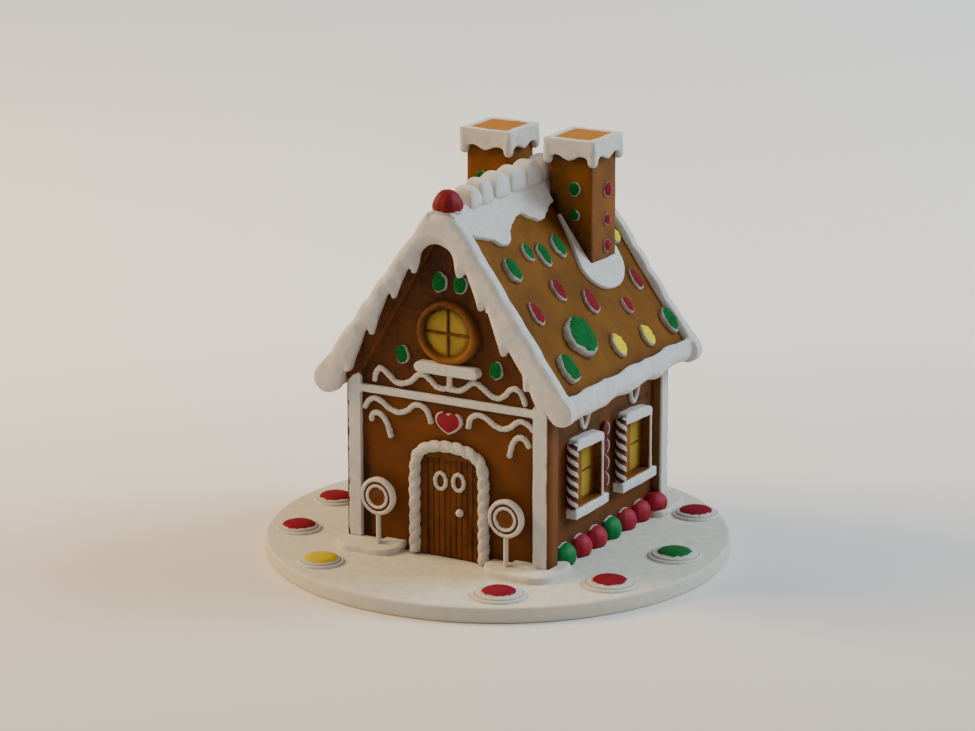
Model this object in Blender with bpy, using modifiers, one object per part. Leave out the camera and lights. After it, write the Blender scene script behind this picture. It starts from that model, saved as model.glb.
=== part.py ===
"""Gingerbread house ornament on its round base: a painted cast copy of a gingerbread house.

Frame: metres, +Z up, the origin at the centre of the underside of the base.
The front gable, with the door, faces -Y.
"""
import math

import bmesh
import bpy
from mathutils import Matrix, Vector

MM = 0.001
GAP = 0.3 * MM                    # clearance between two pieces that touch

# Round base, with a low bank of snow round each corner of the house
BASE_RADIUS = 100 * MM
BASE_HEIGHT = 6.8 * MM
BASE_EDGE = 0.9 * MM
SNOW_HEIGHT = 2.9 * MM
SNOW_INNER_X = 21.3 * MM
SNOW_OUTER_X = {"front": 53.2 * MM, "rear": 53.0 * MM}
SNOW_REACH = 14.1 * MM            # from the gable wall to the edge of the bank
SNOW_CORNER = 9 * MM
SNOW_SIDE = {"front": ((51.0 * MM, -28.2 * MM), (53.2 * MM, -34.2 * MM)),
             "rear": ((52.5 * MM, 49.8 * MM), (54.9 * MM, 53.8 * MM), (53.0 * MM, 60.0 * MM))}
LEDGE_HEIGHT = 1.2 * MM
LEDGE_DEPTH = 5.0 * MM
LEDGE_X = ((32.5 * MM, 40.4 * MM), (-29.3 * MM, -21.6 * MM))

# House body: two gable slabs, wider than the solid block of walls between them
SLAB_HALF_WIDTH = 48.8 * MM
WALL_HALF_WIDTH = 44.8 * MM
FRONT_WALL_Y = -41.6 * MM
FRONT_SLAB_BACK_Y = -35.2 * MM
REAR_SLAB_FRONT_Y = 58.2 * MM
REAR_WALL_Y = 64.2 * MM
RELIEF = 1.8 * MM                 # how far trim stands out from the gable walls

# Roof: both slopes start from a line above the ridge and fall by ROOF_RISE for each unit of run
ROOF_RISE = 1.365
ROOF_APEX_Z = 158.5 * MM
ROOF_FLAT_Z = 155.4 * MM
ROOF_THICKNESS = 4.0 * MM
ROOF_LENGTH = 95.8 * MM
ROOF_FRONT_Y = -43.4 * MM
ROOF_REAR_Y = 68.9 * MM
ROOF_ANGLE = math.atan(ROOF_RISE)
COS_ROOF = math.cos(ROOF_ANGLE)
SIN_ROOF = math.sin(ROOF_ANGLE)

# Icing on the roof
ICING_LIFT = 2.8 * MM             # how far the icing stands above the roof surface
RAKE_DEPTH = 4.4 * MM
RAKE_TIP_RIGHT = -10.4 * MM       # level of the drip tips, measured square to the slope
RAKE_TIP_LEFT = -7.6 * MM
RAKE_NOTCH = 3.2 * MM             # how far the notch beside a tip cuts back
RAKE_TIPS_RIGHT = (6.4 * MM, 17.8 * MM, 29.0 * MM, 40.4 * MM)
RAKE_TIPS_LEFT = (12.4 * MM, 21.0 * MM, 33.2 * MM, 45.6 * MM)
RAKE_INNER_APEX = (-2.8 * MM, 143.8 * MM)
LOBE_X = 55.8 * MM
LOBE_Z = 78.9 * MM
LOBE_RADIUS = 5.6 * MM
RIDGE_LIFT = 1.5 * MM
RIDGE_TOP_Z = 158.2 * MM
RIDGE_REACH = 11.2 * MM           # mean run of the ridge icing down each slope
RIDGE_WAVE = 2.9 * MM
RIDGE_WAVE_LENGTH = 33.5 * MM
RIDGE_WAVE_START_Y = -18.5 * MM
BEAD_COUNT = 8
BEAD_SPACING = 12.6 * MM
BEAD_FIRST_Y = -26.0 * MM
BEAD_HALF_WIDTH = 5.8 * MM
BEAD_TOP_Z = 166.0 * MM
BEAD_FOOT_Z = 156.6 * MM
RIDGE_DROP_Y = -41.0 * MM

# Chimneys: X range on each slope, with a common Y range and height
CHIMNEY_X = {"right": (8.4 * MM, 28.8 * MM), "left": (-32.6 * MM, -12.0 * MM)}
CHIMNEY_Y = (29.6 * MM, 51.6 * MM)
CHIMNEY_TOP_Z = 175.9 * MM
CAP_WALL = 1.9 * MM
CAP_TOP_Z = 175.6 * MM
CAP_NOTCH_Z = 168.3 * MM
CAP_CORNER_DRIP = 4.0 * MM
CAP_MIDDLE_DRIP = 1.8 * MM
COLLAR_THICKNESS = 1.3 * MM
COLLAR_TOP_RUN = 22.4 * MM        # where the collar starts, down the slope from the ridge
COLLAR_APRON_RUN = 45.5 * MM      # centre of the round apron at its foot
COLLAR_APRON = (14.3 * MM, 16.8 * MM)
COLLAR_APRON_Y = 38.8 * MM
COLLAR_TOP_Y = (25.3 * MM, 55.0 * MM)

# Trim of the gable walls
STRIP_WIDTH = 7.5 * MM
STRIP_BOTTOM_Z = 10.1 * MM
STRIP_TOP_OUTER_Z = 78.1 * MM
STRIP_TOP_INNER_Z = 82.2 * MM
BEAM_Z = (74.9 * MM, 78.3 * MM)
BOARD_FOOT_Z = 78.4 * MM
BOARD_INNER_TOP_Z = 150.4 * MM
BOARD_INNER_RISE = 1.652
WINDOW_X = 1.0 * MM
WINDOW_Z = 105.6 * MM
WINDOW_OUTER_RADIUS = 12.7 * MM
WINDOW_PANE_RADIUS = 9.8 * MM
SILL_Z = 89.5 * MM
SILL_HALF_LENGTH = 15.4 * MM
SILL_HEIGHT = 4.4 * MM
SILL_DEPTH = 4.2 * MM
STEM_HALF_WIDTH = 1.1 * MM
HEART_Z = 66.2 * MM
HEART_WIDTH = 12.4 * MM
HEART_HEIGHT = 9.3 * MM

# Door
DOOR_X = 1.2 * MM
ARCH_HALF_WIDTH = 16.7 * MM
ARCH_TOP_Z = 55.6 * MM
ARCH_CORNER = 8.5 * MM
ARCH_RADIUS = 2.8 * MM
ARCH_RISE = 1.3 * MM
DOOR_THICKNESS = 1.3 * MM

# Lollipops that stand in the snow
LOLLIPOP_X = 31.0 * MM
LOLLIPOP_Y = -47.5 * MM
LOLLIPOP_Z = 31.0 * MM
LOLLIPOP_RADIUS = 8.4 * MM
LOLLIPOP_HALF_THICKNESS = 1.5 * MM
STICK_RADIUS = 1.1 * MM

# Side windows
SIDE_WINDOW_Y = (-8.0 * MM, 36.0 * MM)
SIDE_COLUMN_OFFSET = -12.6 * MM
SIDE_JAMB_OFFSET = 11.9 * MM
SIDE_SILL_Z = (25.3 * MM, 29.7 * MM)
SIDE_LINTEL_Z = (54.6 * MM, 59.6 * MM)
SIDE_FRAME_DEPTH = 4.0 * MM
SIDE_SILL_DEPTH = 5.2 * MM
JAMB_WIDTH = 1.7 * MM
COLUMN_RADIUS = 2.35 * MM
COLUMN_WAIST = 1.65 * MM
COLUMN_TURNS = 3.3
COLUMN_TOP_Z = 58.2 * MM

# Sweets
DROP_RADIUS = 4.55 * MM
DROP_HEIGHT = 8.4 * MM
DROP_X = 45.9 * MM
DROP_Y = (-23.2 * MM, -9.4 * MM, 4.2 * MM, 17.6 * MM, 31.4 * MM, 44.9 * MM)
DROP_COLOURS = ("green", "red", "red", "green", "red", "red")
LAST_DROP = (50.1 * MM, 53.35 * MM)   # this one stands on the snow at the rear corner
RIDGE_DROP_RADIUS = 6.1 * MM
RIDGE_DROP_HEIGHT = 8.0 * MM
SWEET_DISC_RADIUS = 7.6 * MM
SWEET_RING_STEP = 2.0 * MM
SWEETS = (                        # angle from the front, distance from the centre, radius, colour
    (30.0, 84.5 * MM, 11.4 * MM, "red"),
    (62.9, 84.3 * MM, 11.4 * MM, "red"),
    (95.2, 82.1 * MM, 11.4 * MM, "green"),
    (134.3, 89.4 * MM, 10.3 * MM, "red"),
    (180.0, 84.5 * MM, 11.4 * MM, "green"),
    (-134.3, 89.4 * MM, 10.3 * MM, "yellow"),
    (-91.2, 83.5 * MM, 10.2 * MM, "red"),
    (-62.0, 85.8 * MM, 10.2 * MM, "red"),
    (-30.6, 85.4 * MM, 10.2 * MM, "yellow"),
)
GEM_RUN = 72.2 * MM
GEM_Y = -7.6 * MM
GEM_RADIUS = 8.2 * MM
GEM_HEIGHT = 3.2 * MM
GEM_SQUASH = 0.88

COLOURS = {
    "base": (0.66, 0.64, 0.60),
    "icing": (0.78, 0.77, 0.75),
    "wall": (0.13, 0.05, 0.013),
    "roof": (0.22, 0.10, 0.03),
    "ring": (0.30, 0.11, 0.02),
    "door": (0.16, 0.055, 0.012),
    "red": (0.36, 0.02, 0.03),
    "green": (0.01, 0.16, 0.05),
    "yellow": (0.58, 0.45, 0.04),
}


def clear_scene():
    for obj in list(bpy.data.objects):
        bpy.data.objects.remove(obj, do_unlink=True)


def make_materials():
    materials = {}
    for name, colour in COLOURS.items():
        material = bpy.data.materials.new(name)
        material.use_nodes = True
        shader = material.node_tree.nodes["Principled BSDF"]
        shader.inputs["Base Color"].default_value = (*colour, 1)
        shader.inputs["Roughness"].default_value = 0.7
        shader.inputs["Metallic"].default_value = 0
        materials[name] = material
    return materials


clear_scene()
MATERIALS = make_materials()
PARTS = bpy.data.collections.new("gingerbread_house")
CUTTERS = bpy.data.collections.new("cutters")
bpy.context.scene.collection.children.link(PARTS)
bpy.context.scene.collection.children.link(CUTTERS)


# ---------------------------------------------------------------- modelling helpers

def add_part(name, mesh, colour, matrix=None):
    """Put a mesh in the model as the named part."""
    obj = bpy.data.objects.new(name, mesh)
    mesh.materials.clear()
    mesh.materials.append(MATERIALS[colour])
    if matrix is not None:
        obj.matrix_world = matrix
    PARTS.objects.link(obj)
    return obj


def add_cutter(name, mesh, matrix=None):
    """A helper solid that a Boolean modifier reads and that isn't part of the model."""
    obj = bpy.data.objects.new(name, mesh)
    if matrix is not None:
        obj.matrix_world = matrix
    obj.hide_render = True
    obj.display_type = "WIRE"
    CUTTERS.objects.link(obj)
    return obj


def combine(part, other, operation):
    modifier = part.modifiers.new(f"{operation} {other.name}", "BOOLEAN")
    modifier.operation = operation
    modifier.solver = "EXACT"
    modifier.object = other


def round_edges(part, width):
    modifier = part.modifiers.new("rounded edges", "BEVEL")
    modifier.width = width
    modifier.segments = 1
    modifier.limit_method = "ANGLE"
    modifier.angle_limit = math.radians(40)


def mesh_from_bmesh(name, bm):
    bmesh.ops.recalc_face_normals(bm, faces=bm.faces)
    mesh = bpy.data.meshes.new(name)
    bm.to_mesh(mesh)
    bm.free()
    mesh.set_sharp_from_angle(angle=math.radians(35))
    return mesh


def mesh_from_curve(name, curve):
    """Turn curve data into a mesh whose caps are welded to its sides."""
    obj = bpy.data.objects.new(name, curve)
    bpy.context.scene.collection.objects.link(obj)
    evaluated = obj.evaluated_get(bpy.context.evaluated_depsgraph_get())
    mesh = bpy.data.meshes.new_from_object(evaluated)
    bpy.data.objects.remove(obj)
    bm = bmesh.new()
    bm.from_mesh(mesh)
    bmesh.ops.remove_doubles(bm, verts=bm.verts, dist=0.01 * MM)
    bpy.data.meshes.remove(mesh)
    return mesh_from_bmesh(name, bm)


def outline_mesh(name, points, thickness):
    """A flat closed outline, made solid by half its thickness each way along local Z."""
    curve = bpy.data.curves.new(name, "CURVE")
    curve.dimensions = "2D"
    curve.fill_mode = "BOTH"
    curve.extrude = thickness / 2
    spline = curve.splines.new("POLY")
    spline.points.add(len(points) - 1)
    for point, (x, y) in zip(spline.points, points):
        point.co = (x, y, 0, 1)
    spline.use_cyclic_u = True
    return mesh_from_curve(name, curve)


def tube_mesh(name, points, radii, resolution=2):
    """A solid tube through the points, with a radius of its own at each."""
    curve = bpy.data.curves.new(name, "CURVE")
    curve.dimensions = "3D"
    curve.bevel_depth = 1
    curve.bevel_resolution = resolution
    curve.use_fill_caps = True
    spline = curve.splines.new("POLY")
    spline.points.add(len(points) - 1)
    for point, position, radius in zip(spline.points, points, radii):
        point.co = (*position, 1)
        point.radius = radius
    return mesh_from_curve(name, curve)


def loft_mesh(name, sections, endless=False):
    """Join rings of equal point count, one after another, and close both ends.

    An endless loft runs from the last ring back to the first instead.
    """
    bm = bmesh.new()
    rings = [[bm.verts.new(point) for point in section] for section in sections]
    for ring, following in zip(rings, rings[1:] + rings[:1] if endless else rings[1:]):
        for i in range(len(ring)):
            j = (i + 1) % len(ring)
            bm.faces.new((ring[i], ring[j], following[j], following[i]))
    if not endless:
        bm.faces.new(rings[0])
        bm.faces.new(reversed(rings[-1]))
    bmesh.ops.triangulate(bm, faces=bm.faces)
    return mesh_from_bmesh(name, bm)


def turned_part(name, profile, colour, position, segments=20):
    """Turn a profile of (radius, height) points, from its top down, round local Z."""
    mesh = bpy.data.meshes.new(name)
    points = [(radius, 0, height) for radius, height in profile]
    mesh.from_pydata(points, [(i, i + 1) for i in range(len(points) - 1)], [])
    obj = add_part(name, mesh, colour, Matrix.Translation(position))
    screw = obj.modifiers.new("turn", "SCREW")
    screw.axis = "Z"
    screw.steps = segments
    screw.render_steps = segments
    screw.use_merge_vertices = True
    screw.merge_threshold = 0.02 * MM
    screw.use_smooth_shade = True
    return obj


def box_mesh(name, low, high):
    low = Vector(low)
    high = Vector(high)
    bm = bmesh.new()
    bmesh.ops.create_cube(bm, size=1)
    bmesh.ops.scale(bm, vec=high - low, verts=bm.verts)
    bmesh.ops.translate(bm, vec=(low + high) / 2, verts=bm.verts)
    return mesh_from_bmesh(name, bm)


def facing_y(y_from, y_to):
    """Matrix that stands an outline of (x, z) points up, between two Y levels."""
    return Matrix.Translation((0, (y_from + y_to) / 2, 0)) @ Matrix.Rotation(math.pi / 2, 4, "X")


def add_panel(name, points, y_from, y_to, colour):
    return add_part(name, outline_mesh(name, points, y_to - y_from), colour, facing_y(y_from, y_to))


def panel_cutter(name, points, y_from, y_to):
    return add_cutter(name, outline_mesh(name, points, y_to - y_from), facing_y(y_from, y_to))


def arc(centre, radius, start, end, steps):
    """Points along an arc, with both angles in degrees."""
    angles = [math.radians(start + (end - start) * i / steps) for i in range(steps + 1)]
    return [(centre[0] + radius * math.cos(a), centre[1] + radius * math.sin(a)) for a in angles]


def mirrored(points):
    """The same outline on the other side of X = 0."""
    return [(-x, y) for x, y in reversed(points)]


# ---------------------------------------------------------------- roof geometry

def on_slope(run, lift):
    """(x, z) of a point of the right slope: run along it from the apex, lift square to it."""
    return (run * COS_ROOF + lift * SIN_ROOF, ROOF_APEX_Z - run * SIN_ROOF + lift * COS_ROOF)


def below_slope(x, lift):
    """Height at x of the line that lies parallel to the slope at the given lift."""
    return ROOF_APEX_Z + lift / COS_ROOF - ROOF_RISE * abs(x)


def slope_matrix(side, lift):
    """Local X runs down the slope, local Z is its outward normal; origin at the apex line."""
    sign = 1 if side == "right" else -1
    down = Vector((sign * COS_ROOF, 0, -SIN_ROOF))
    normal = Vector((sign * SIN_ROOF, 0, COS_ROOF))
    along = normal.cross(down)
    matrix = Matrix((down, along, normal)).transposed().to_4x4()
    matrix.translation = Vector((0, 0, ROOF_APEX_Z)) + normal * lift
    return matrix


# ---------------------------------------------------------------- base

def snow_outline(end):
    """Plan of one bank on the right: it wraps the corner and lies against both walls."""
    out = -1 if end == "front" else 1
    wall_y = FRONT_WALL_Y if end == "front" else REAR_WALL_Y
    slab_y = FRONT_SLAB_BACK_Y if end == "front" else REAR_SLAB_FRONT_Y
    side = SNOW_SIDE[end]
    outer_x = SNOW_OUTER_X[end]
    far_centre = wall_y + out * (SNOW_REACH - SNOW_CORNER)
    outline = [(WALL_HALF_WIDTH + GAP, slab_y - out * GAP), (WALL_HALF_WIDTH + GAP, side[0][1])]
    outline += side
    outline += arc((outer_x - SNOW_CORNER, far_centre), SNOW_CORNER, 0, out * 90, 4)
    outline += arc((SNOW_INNER_X + SNOW_CORNER, far_centre), SNOW_CORNER, out * 90, out * 180, 4)
    outline += [(SNOW_INNER_X, wall_y + out * GAP), (SLAB_HALF_WIDTH + GAP, wall_y + out * GAP),
                (SLAB_HALF_WIDTH + GAP, slab_y - out * GAP)]
    return outline


def make_base():
    """Round plate; the banks of snow are moulded in one piece with it."""
    bm = bmesh.new()
    bmesh.ops.create_cone(bm, cap_ends=True, segments=64, radius1=BASE_RADIUS,
                          radius2=BASE_RADIUS, depth=BASE_HEIGHT)
    bmesh.ops.translate(bm, vec=(0, 0, BASE_HEIGHT / 2), verts=bm.verts)
    base = add_part("base_plate", mesh_from_bmesh("base_plate", bm), "base")
    round_edges(base, BASE_EDGE)
    middle = Matrix.Translation((0, 0, BASE_HEIGHT + (SNOW_HEIGHT - BASE_EDGE) / 2))
    for end in ("front", "rear"):
        right = snow_outline(end)
        for side, outline in (("right", right), ("left", mirrored(right))):
            name = f"snow_{end}_{side}"
            bank = outline_mesh(name, outline, SNOW_HEIGHT + BASE_EDGE)
            combine(base, add_cutter(name, bank, middle), "UNION")
    for number, (x_from, x_to) in enumerate(LEDGE_X, 1):
        top = BASE_HEIGHT + SNOW_HEIGHT + LEDGE_HEIGHT
        ledge = box_mesh("ledge", (x_from, FRONT_WALL_Y - LEDGE_DEPTH, BASE_HEIGHT),
                         (x_to, FRONT_WALL_Y - GAP, top))
        combine(base, add_cutter(f"ledge_{number}", ledge), "UNION")


# ---------------------------------------------------------------- walls and gables

def gable_outline(half_width, foot_z):
    """House-shaped outline that stays just under the roof panels."""
    lift = -ROOF_THICKNESS - GAP
    eave_z = below_slope(half_width, lift)
    ridge_z = below_slope(0, lift)
    return [(-half_width, foot_z), (half_width, foot_z), (half_width, eave_z),
            (0, ridge_z), (-half_width, eave_z)]


def board_outline():
    """The raised edge of a gable: it narrows from the eaves to the ridge."""
    lift = -ROOF_THICKNESS - GAP
    foot_x = (BOARD_INNER_TOP_Z - BOARD_FOOT_Z) / BOARD_INNER_RISE
    right = [(foot_x, BOARD_FOOT_Z), (SLAB_HALF_WIDTH, BOARD_FOOT_Z),
             (SLAB_HALF_WIDTH, below_slope(SLAB_HALF_WIDTH, lift))]
    return right + [(0, below_slope(0, lift))] + mirrored(right) + [(0, BOARD_INNER_TOP_Z)]


def make_walls():
    foot = BASE_HEIGHT + GAP
    add_panel("wall_block", gable_outline(WALL_HALF_WIDTH, foot),
              FRONT_SLAB_BACK_Y + GAP, REAR_SLAB_FRONT_Y - GAP, "wall")
    front = add_panel("gable_front", gable_outline(SLAB_HALF_WIDTH, foot),
                      FRONT_WALL_Y, FRONT_SLAB_BACK_Y, "wall")
    rear = add_panel("gable_rear", gable_outline(SLAB_HALF_WIDTH, foot),
                     REAR_SLAB_FRONT_Y, REAR_WALL_Y, "wall")
    overlap = 1 * MM
    combine(front, panel_cutter("board_front", board_outline(), ROOF_FRONT_Y,
                                FRONT_WALL_Y + overlap), "UNION")
    combine(rear, panel_cutter("board_rear", board_outline(), REAR_WALL_Y - overlap,
                               ROOF_REAR_Y), "UNION")


def make_roof_panels():
    end_x, end_z = on_slope(ROOF_LENGTH, 0)
    flat_x = (ROOF_APEX_Z - ROOF_FLAT_Z) / ROOF_RISE
    outline = [(GAP / 2, ROOF_FLAT_Z), (GAP / 2, below_slope(0, -ROOF_THICKNESS)),
               on_slope(ROOF_LENGTH, -ROOF_THICKNESS), (end_x, end_z), (flat_x, ROOF_FLAT_Z)]
    add_panel("roof_right", outline, ROOF_FRONT_Y, ROOF_REAR_Y, "roof")
    add_panel("roof_left", mirrored(outline), ROOF_FRONT_Y, ROOF_REAR_Y, "roof")


# ---------------------------------------------------------------- icing on the roof

def rake_half(tips, tip_lift):
    """Half of a gable's icing: outer edge from the apex down, then back up past the drips."""
    outline = [(3.4 * MM, RIDGE_TOP_Z - 0.9 * MM), (6.0 * MM, below_slope(6.0 * MM, ICING_LIFT))]
    outline += arc((LOBE_X, LOBE_Z), LOBE_RADIUS, 48, -165, 7)
    for tip_x in reversed(tips):
        notch_x = tip_x + 3.2 * MM
        tip_z = below_slope(tip_x, tip_lift)
        outline += [(notch_x, below_slope(notch_x, tip_lift + RAKE_NOTCH)),
                    (tip_x + 1.2 * MM, tip_z + 0.2 * MM), (tip_x - 0.3 * MM, tip_z + 0.6 * MM)]
    return outline


def make_rakes():
    outline = [(0, RIDGE_TOP_Z)] + rake_half(RAKE_TIPS_RIGHT, RAKE_TIP_RIGHT)
    outline += [(RAKE_INNER_APEX[0] + 3.4 * MM, RAKE_INNER_APEX[1] - 1.8 * MM), RAKE_INNER_APEX]
    outline += [(RAKE_INNER_APEX[0] - 4.2 * MM, RAKE_INNER_APEX[1] - 1.8 * MM)]
    outline += mirrored(rake_half(RAKE_TIPS_LEFT, RAKE_TIP_LEFT))
    front_end = ROOF_FRONT_Y - GAP
    add_panel("icing_rake_front", outline, front_end - RAKE_DEPTH, front_end, "icing")
    rear_start = ROOF_REAR_Y + GAP
    add_panel("icing_rake_rear", outline, rear_start, rear_start + RAKE_DEPTH, "icing")


def eave_section(y, sign):
    """Cross-section of the eave icing in (run, lift), swelling and shrinking along Y."""
    swell = 1 + 0.10 * math.sin(y / (5.1 * MM)) + 0.06 * math.sin(y / (2.9 * MM) + 1)
    lap = 1.2 * MM * math.sin(y / (6.6 * MM) + 2)
    lip = ROOF_LENGTH - 1.6 * MM + 0.5 * lap
    edge = ROOF_LENGTH + GAP
    outline = [(lip, GAP), (lip + 0.2 * MM, 1.6 * MM), (edge, ICING_LIFT)]
    centre = (edge + 2.6 * MM, -1.4 * MM)
    for degrees in (60, 10, -40, -90):
        reach = 4.5 * MM * (swell if degrees < 0 else 1)
        angle = math.radians(degrees)
        outline.append((centre[0] + reach * math.cos(angle), centre[1] + reach * math.sin(angle)))
    tuck = edge - 0.9 * MM
    outline += [(tuck, -ROOF_THICKNESS - 0.9 * MM), (tuck, -ROOF_THICKNESS - GAP),
                (edge, -ROOF_THICKNESS - GAP), (edge, GAP)]
    section = []
    for run, lift in outline:
        x, z = on_slope(run, lift)
        section.append((sign * x, y, z))
    return section


def make_eaves():
    steps = 14
    length = ROOF_REAR_Y - ROOF_FRONT_Y
    for side, sign in (("right", 1), ("left", -1)):
        levels = [ROOF_FRONT_Y + length * i / steps for i in range(steps + 1)]
        sections = [eave_section(y * sign, sign) for y in levels]
        shifted = [[(x, levels[i], z) for x, _, z in section] for i, section in enumerate(sections)]
        name = f"icing_eave_{side}"
        add_part(name, loft_mesh(name, shifted), "icing")


def ridge_section(y):
    """Saddle of icing over the ridge; its lower edges wave along Y."""
    wave = 2 * math.pi * (y - RIDGE_WAVE_START_Y) / RIDGE_WAVE_LENGTH
    right = RIDGE_REACH + RIDGE_WAVE * math.cos(wave)
    left = RIDGE_REACH + RIDGE_WAVE * math.cos(wave + 1.9)
    flat_x = (ROOF_APEX_Z - ROOF_FLAT_Z) / ROOF_RISE
    half = []
    for reach, sign in ((right, 1), (left, -1)):
        points = [(3.4 * MM, RIDGE_TOP_Z - 0.9 * MM), (6.0 * MM, below_slope(6.0 * MM, ICING_LIFT)),
                  (reach - 1.0 * MM, below_slope(reach - 1.0 * MM, RIDGE_LIFT)),
                  (reach, below_slope(reach, GAP)), (flat_x, ROOF_FLAT_Z + GAP)]
        half.append([(sign * x, y, z) for x, z in points])
    return [(0, y, RIDGE_TOP_Z)] + half[0] + list(reversed(half[1]))


def bead_section(y, swell):
    """Cross-section of the piped beads on the ridge."""
    points = []
    for i in range(7):
        angle = math.pi * i / 6
        x = BEAD_HALF_WIDTH * swell * math.cos(angle)
        height = (BEAD_TOP_Z - BEAD_FOOT_Z) * swell
        points.append((x, y, BEAD_FOOT_Z + height * math.sin(angle) ** 0.75))
    points.append((0, y, BEAD_FOOT_Z - 0.5 * MM))
    return points


def make_ridge():
    steps = 16
    length = ROOF_REAR_Y - ROOF_FRONT_Y
    levels = [ROOF_FRONT_Y + length * i / steps for i in range(steps + 1)]
    ridge = add_part("icing_ridge", loft_mesh("icing_ridge", [ridge_section(y) for y in levels]),
                     "icing")
    sections = []
    for bead in range(BEAD_COUNT):
        middle = BEAD_FIRST_Y + bead * BEAD_SPACING
        for position, swell in ((-0.48, 0.66), (-0.26, 0.96), (0.26, 0.96), (0.48, 0.66)):
            sections.append(bead_section(middle + position * BEAD_SPACING, swell))
    combine(ridge, add_cutter("beads", loft_mesh("beads", sections)), "UNION")
    for side, (x_from, x_to) in CHIMNEY_X.items():
        low = (x_from - GAP, CHIMNEY_Y[0] - GAP, ROOF_APEX_Z - 60 * MM)
        high = (x_to + GAP, CHIMNEY_Y[1] + GAP, CHIMNEY_TOP_Z)
        combine(ridge, add_cutter(f"ridge_room_{side}", box_mesh("room", low, high)), "DIFFERENCE")


# ---------------------------------------------------------------- chimneys

def make_stack(side):
    x_from, x_to = CHIMNEY_X[side]
    foot = [(x, below_slope(x, GAP)) for x in (x_from, x_to)]
    outline = foot + [(x_to, CHIMNEY_TOP_Z), (x_from, CHIMNEY_TOP_Z)]
    add_panel(f"chimney_{side}", outline, CHIMNEY_Y[0], CHIMNEY_Y[1], "wall")


def rectangle(x_from, x_to, y_from, y_to):
    return [(x_from, y_from), (x_to, y_from), (x_to, y_to), (x_from, y_to)]


def make_cap(side):
    """Icing round the head of a chimney, with drips at its corners and between them."""
    name = f"chimney_icing_{side}"
    x_from, x_to = (CHIMNEY_X[side][0] - GAP, CHIMNEY_X[side][1] + GAP)
    y_from, y_to = (CHIMNEY_Y[0] - GAP, CHIMNEY_Y[1] + GAP)
    inner = rectangle(x_from, x_to, y_from, y_to)
    outer = rectangle(x_from - CAP_WALL, x_to + CAP_WALL, y_from - CAP_WALL, y_to + CAP_WALL)
    steps = 8
    sections = []
    for corner in range(4):
        following = (corner + 1) % 4
        for i in range(steps):
            u = i / steps
            depth = CAP_MIDDLE_DRIP + (CAP_CORNER_DRIP - CAP_MIDDLE_DRIP) * (2 * u - 1) ** 2
            low_z = CAP_NOTCH_Z - depth * (1 + math.cos(4 * math.pi * u)) / 2
            near, far = (Vector(ring[corner]).lerp(Vector(ring[following]), u)
                         for ring in (inner, outer))
            sections.append([(*far, CAP_TOP_Z), (*far, low_z), (*near, low_z),
                             (*near, CAP_TOP_Z)])
    add_part(name, loft_mesh(name, sections, endless=True), "icing")


def make_collar(side):
    """Icing on the slope round a chimney's foot, with a round apron on the lower side."""
    name = f"chimney_collar_{side}"
    sign = 1 if side == "right" else -1
    outline = [(COLLAR_TOP_RUN, COLLAR_TOP_Y[1] - 1.5 * MM),
               (COLLAR_TOP_RUN, COLLAR_TOP_Y[0] + 1.5 * MM),
               (COLLAR_TOP_RUN + 10 * MM, COLLAR_TOP_Y[0])]
    for i in range(9):
        angle = math.radians(-90 + 22.5 * i)
        outline.append((COLLAR_APRON_RUN + COLLAR_APRON[0] * math.cos(angle),
                        COLLAR_APRON_Y + COLLAR_APRON[1] * math.sin(angle)))
    outline = [(run, sign * y) for run, y in outline]
    mesh = outline_mesh(name, outline, COLLAR_THICKNESS)
    collar = add_part(name, mesh, "icing", slope_matrix(side, GAP + COLLAR_THICKNESS / 2))
    x_from, x_to = CHIMNEY_X[side]
    low = (x_from - GAP, CHIMNEY_Y[0] - GAP, 90 * MM)
    high = (x_to + GAP, CHIMNEY_Y[1] + GAP, CHIMNEY_TOP_Z)
    combine(collar, add_cutter(f"collar_room_{side}", box_mesh("room", low, high)), "DIFFERENCE")


# ---------------------------------------------------------------- trim of the gable walls

def strip_outline(sign):
    outer = sign * SLAB_HALF_WIDTH
    inner = sign * (SLAB_HALF_WIDTH - STRIP_WIDTH)
    foot_x = sign * (BOARD_INNER_TOP_Z - BOARD_FOOT_Z) / BOARD_INNER_RISE
    return [(outer, STRIP_BOTTOM_Z), (outer, STRIP_TOP_OUTER_Z), (foot_x, STRIP_TOP_OUTER_Z),
            (inner, STRIP_TOP_INNER_Z), (inner, STRIP_BOTTOM_Z)]


def make_gable_icing(name, wall_y, out):
    """Corner strips joined by a beam; at the front the window sill hangs on its stem too."""
    near = wall_y + out * GAP
    far = wall_y + out * (GAP + RELIEF)
    y_from, y_to = sorted((near, far))
    beam = rectangle(-SLAB_HALF_WIDTH + 2 * MM, SLAB_HALF_WIDTH - 2 * MM, *BEAM_Z)
    icing = add_panel(name, beam, y_from, y_to, "icing")
    for side, sign in (("right", 1), ("left", -1)):
        combine(icing, panel_cutter(f"{name}_strip_{side}", strip_outline(sign), y_from, y_to),
                "UNION")
    stem = rectangle(WINDOW_X - STEM_HALF_WIDTH, WINDOW_X + STEM_HALF_WIDTH,
                     BEAM_Z[0] + 1 * MM, SILL_Z)
    combine(icing, panel_cutter(f"{name}_stem", stem, y_from, y_to), "UNION")
    end = SILL_HEIGHT / 2
    sill = arc((WINDOW_X + SILL_HALF_LENGTH - end, SILL_Z), end, -90, 90, 4)
    sill += arc((WINDOW_X - SILL_HALF_LENGTH + end, SILL_Z), end, 90, 270, 4)
    sill_from, sill_to = sorted((near, wall_y + out * (GAP + SILL_DEPTH)))
    combine(icing, panel_cutter(f"{name}_sill", sill, sill_from, sill_to), "UNION")


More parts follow.
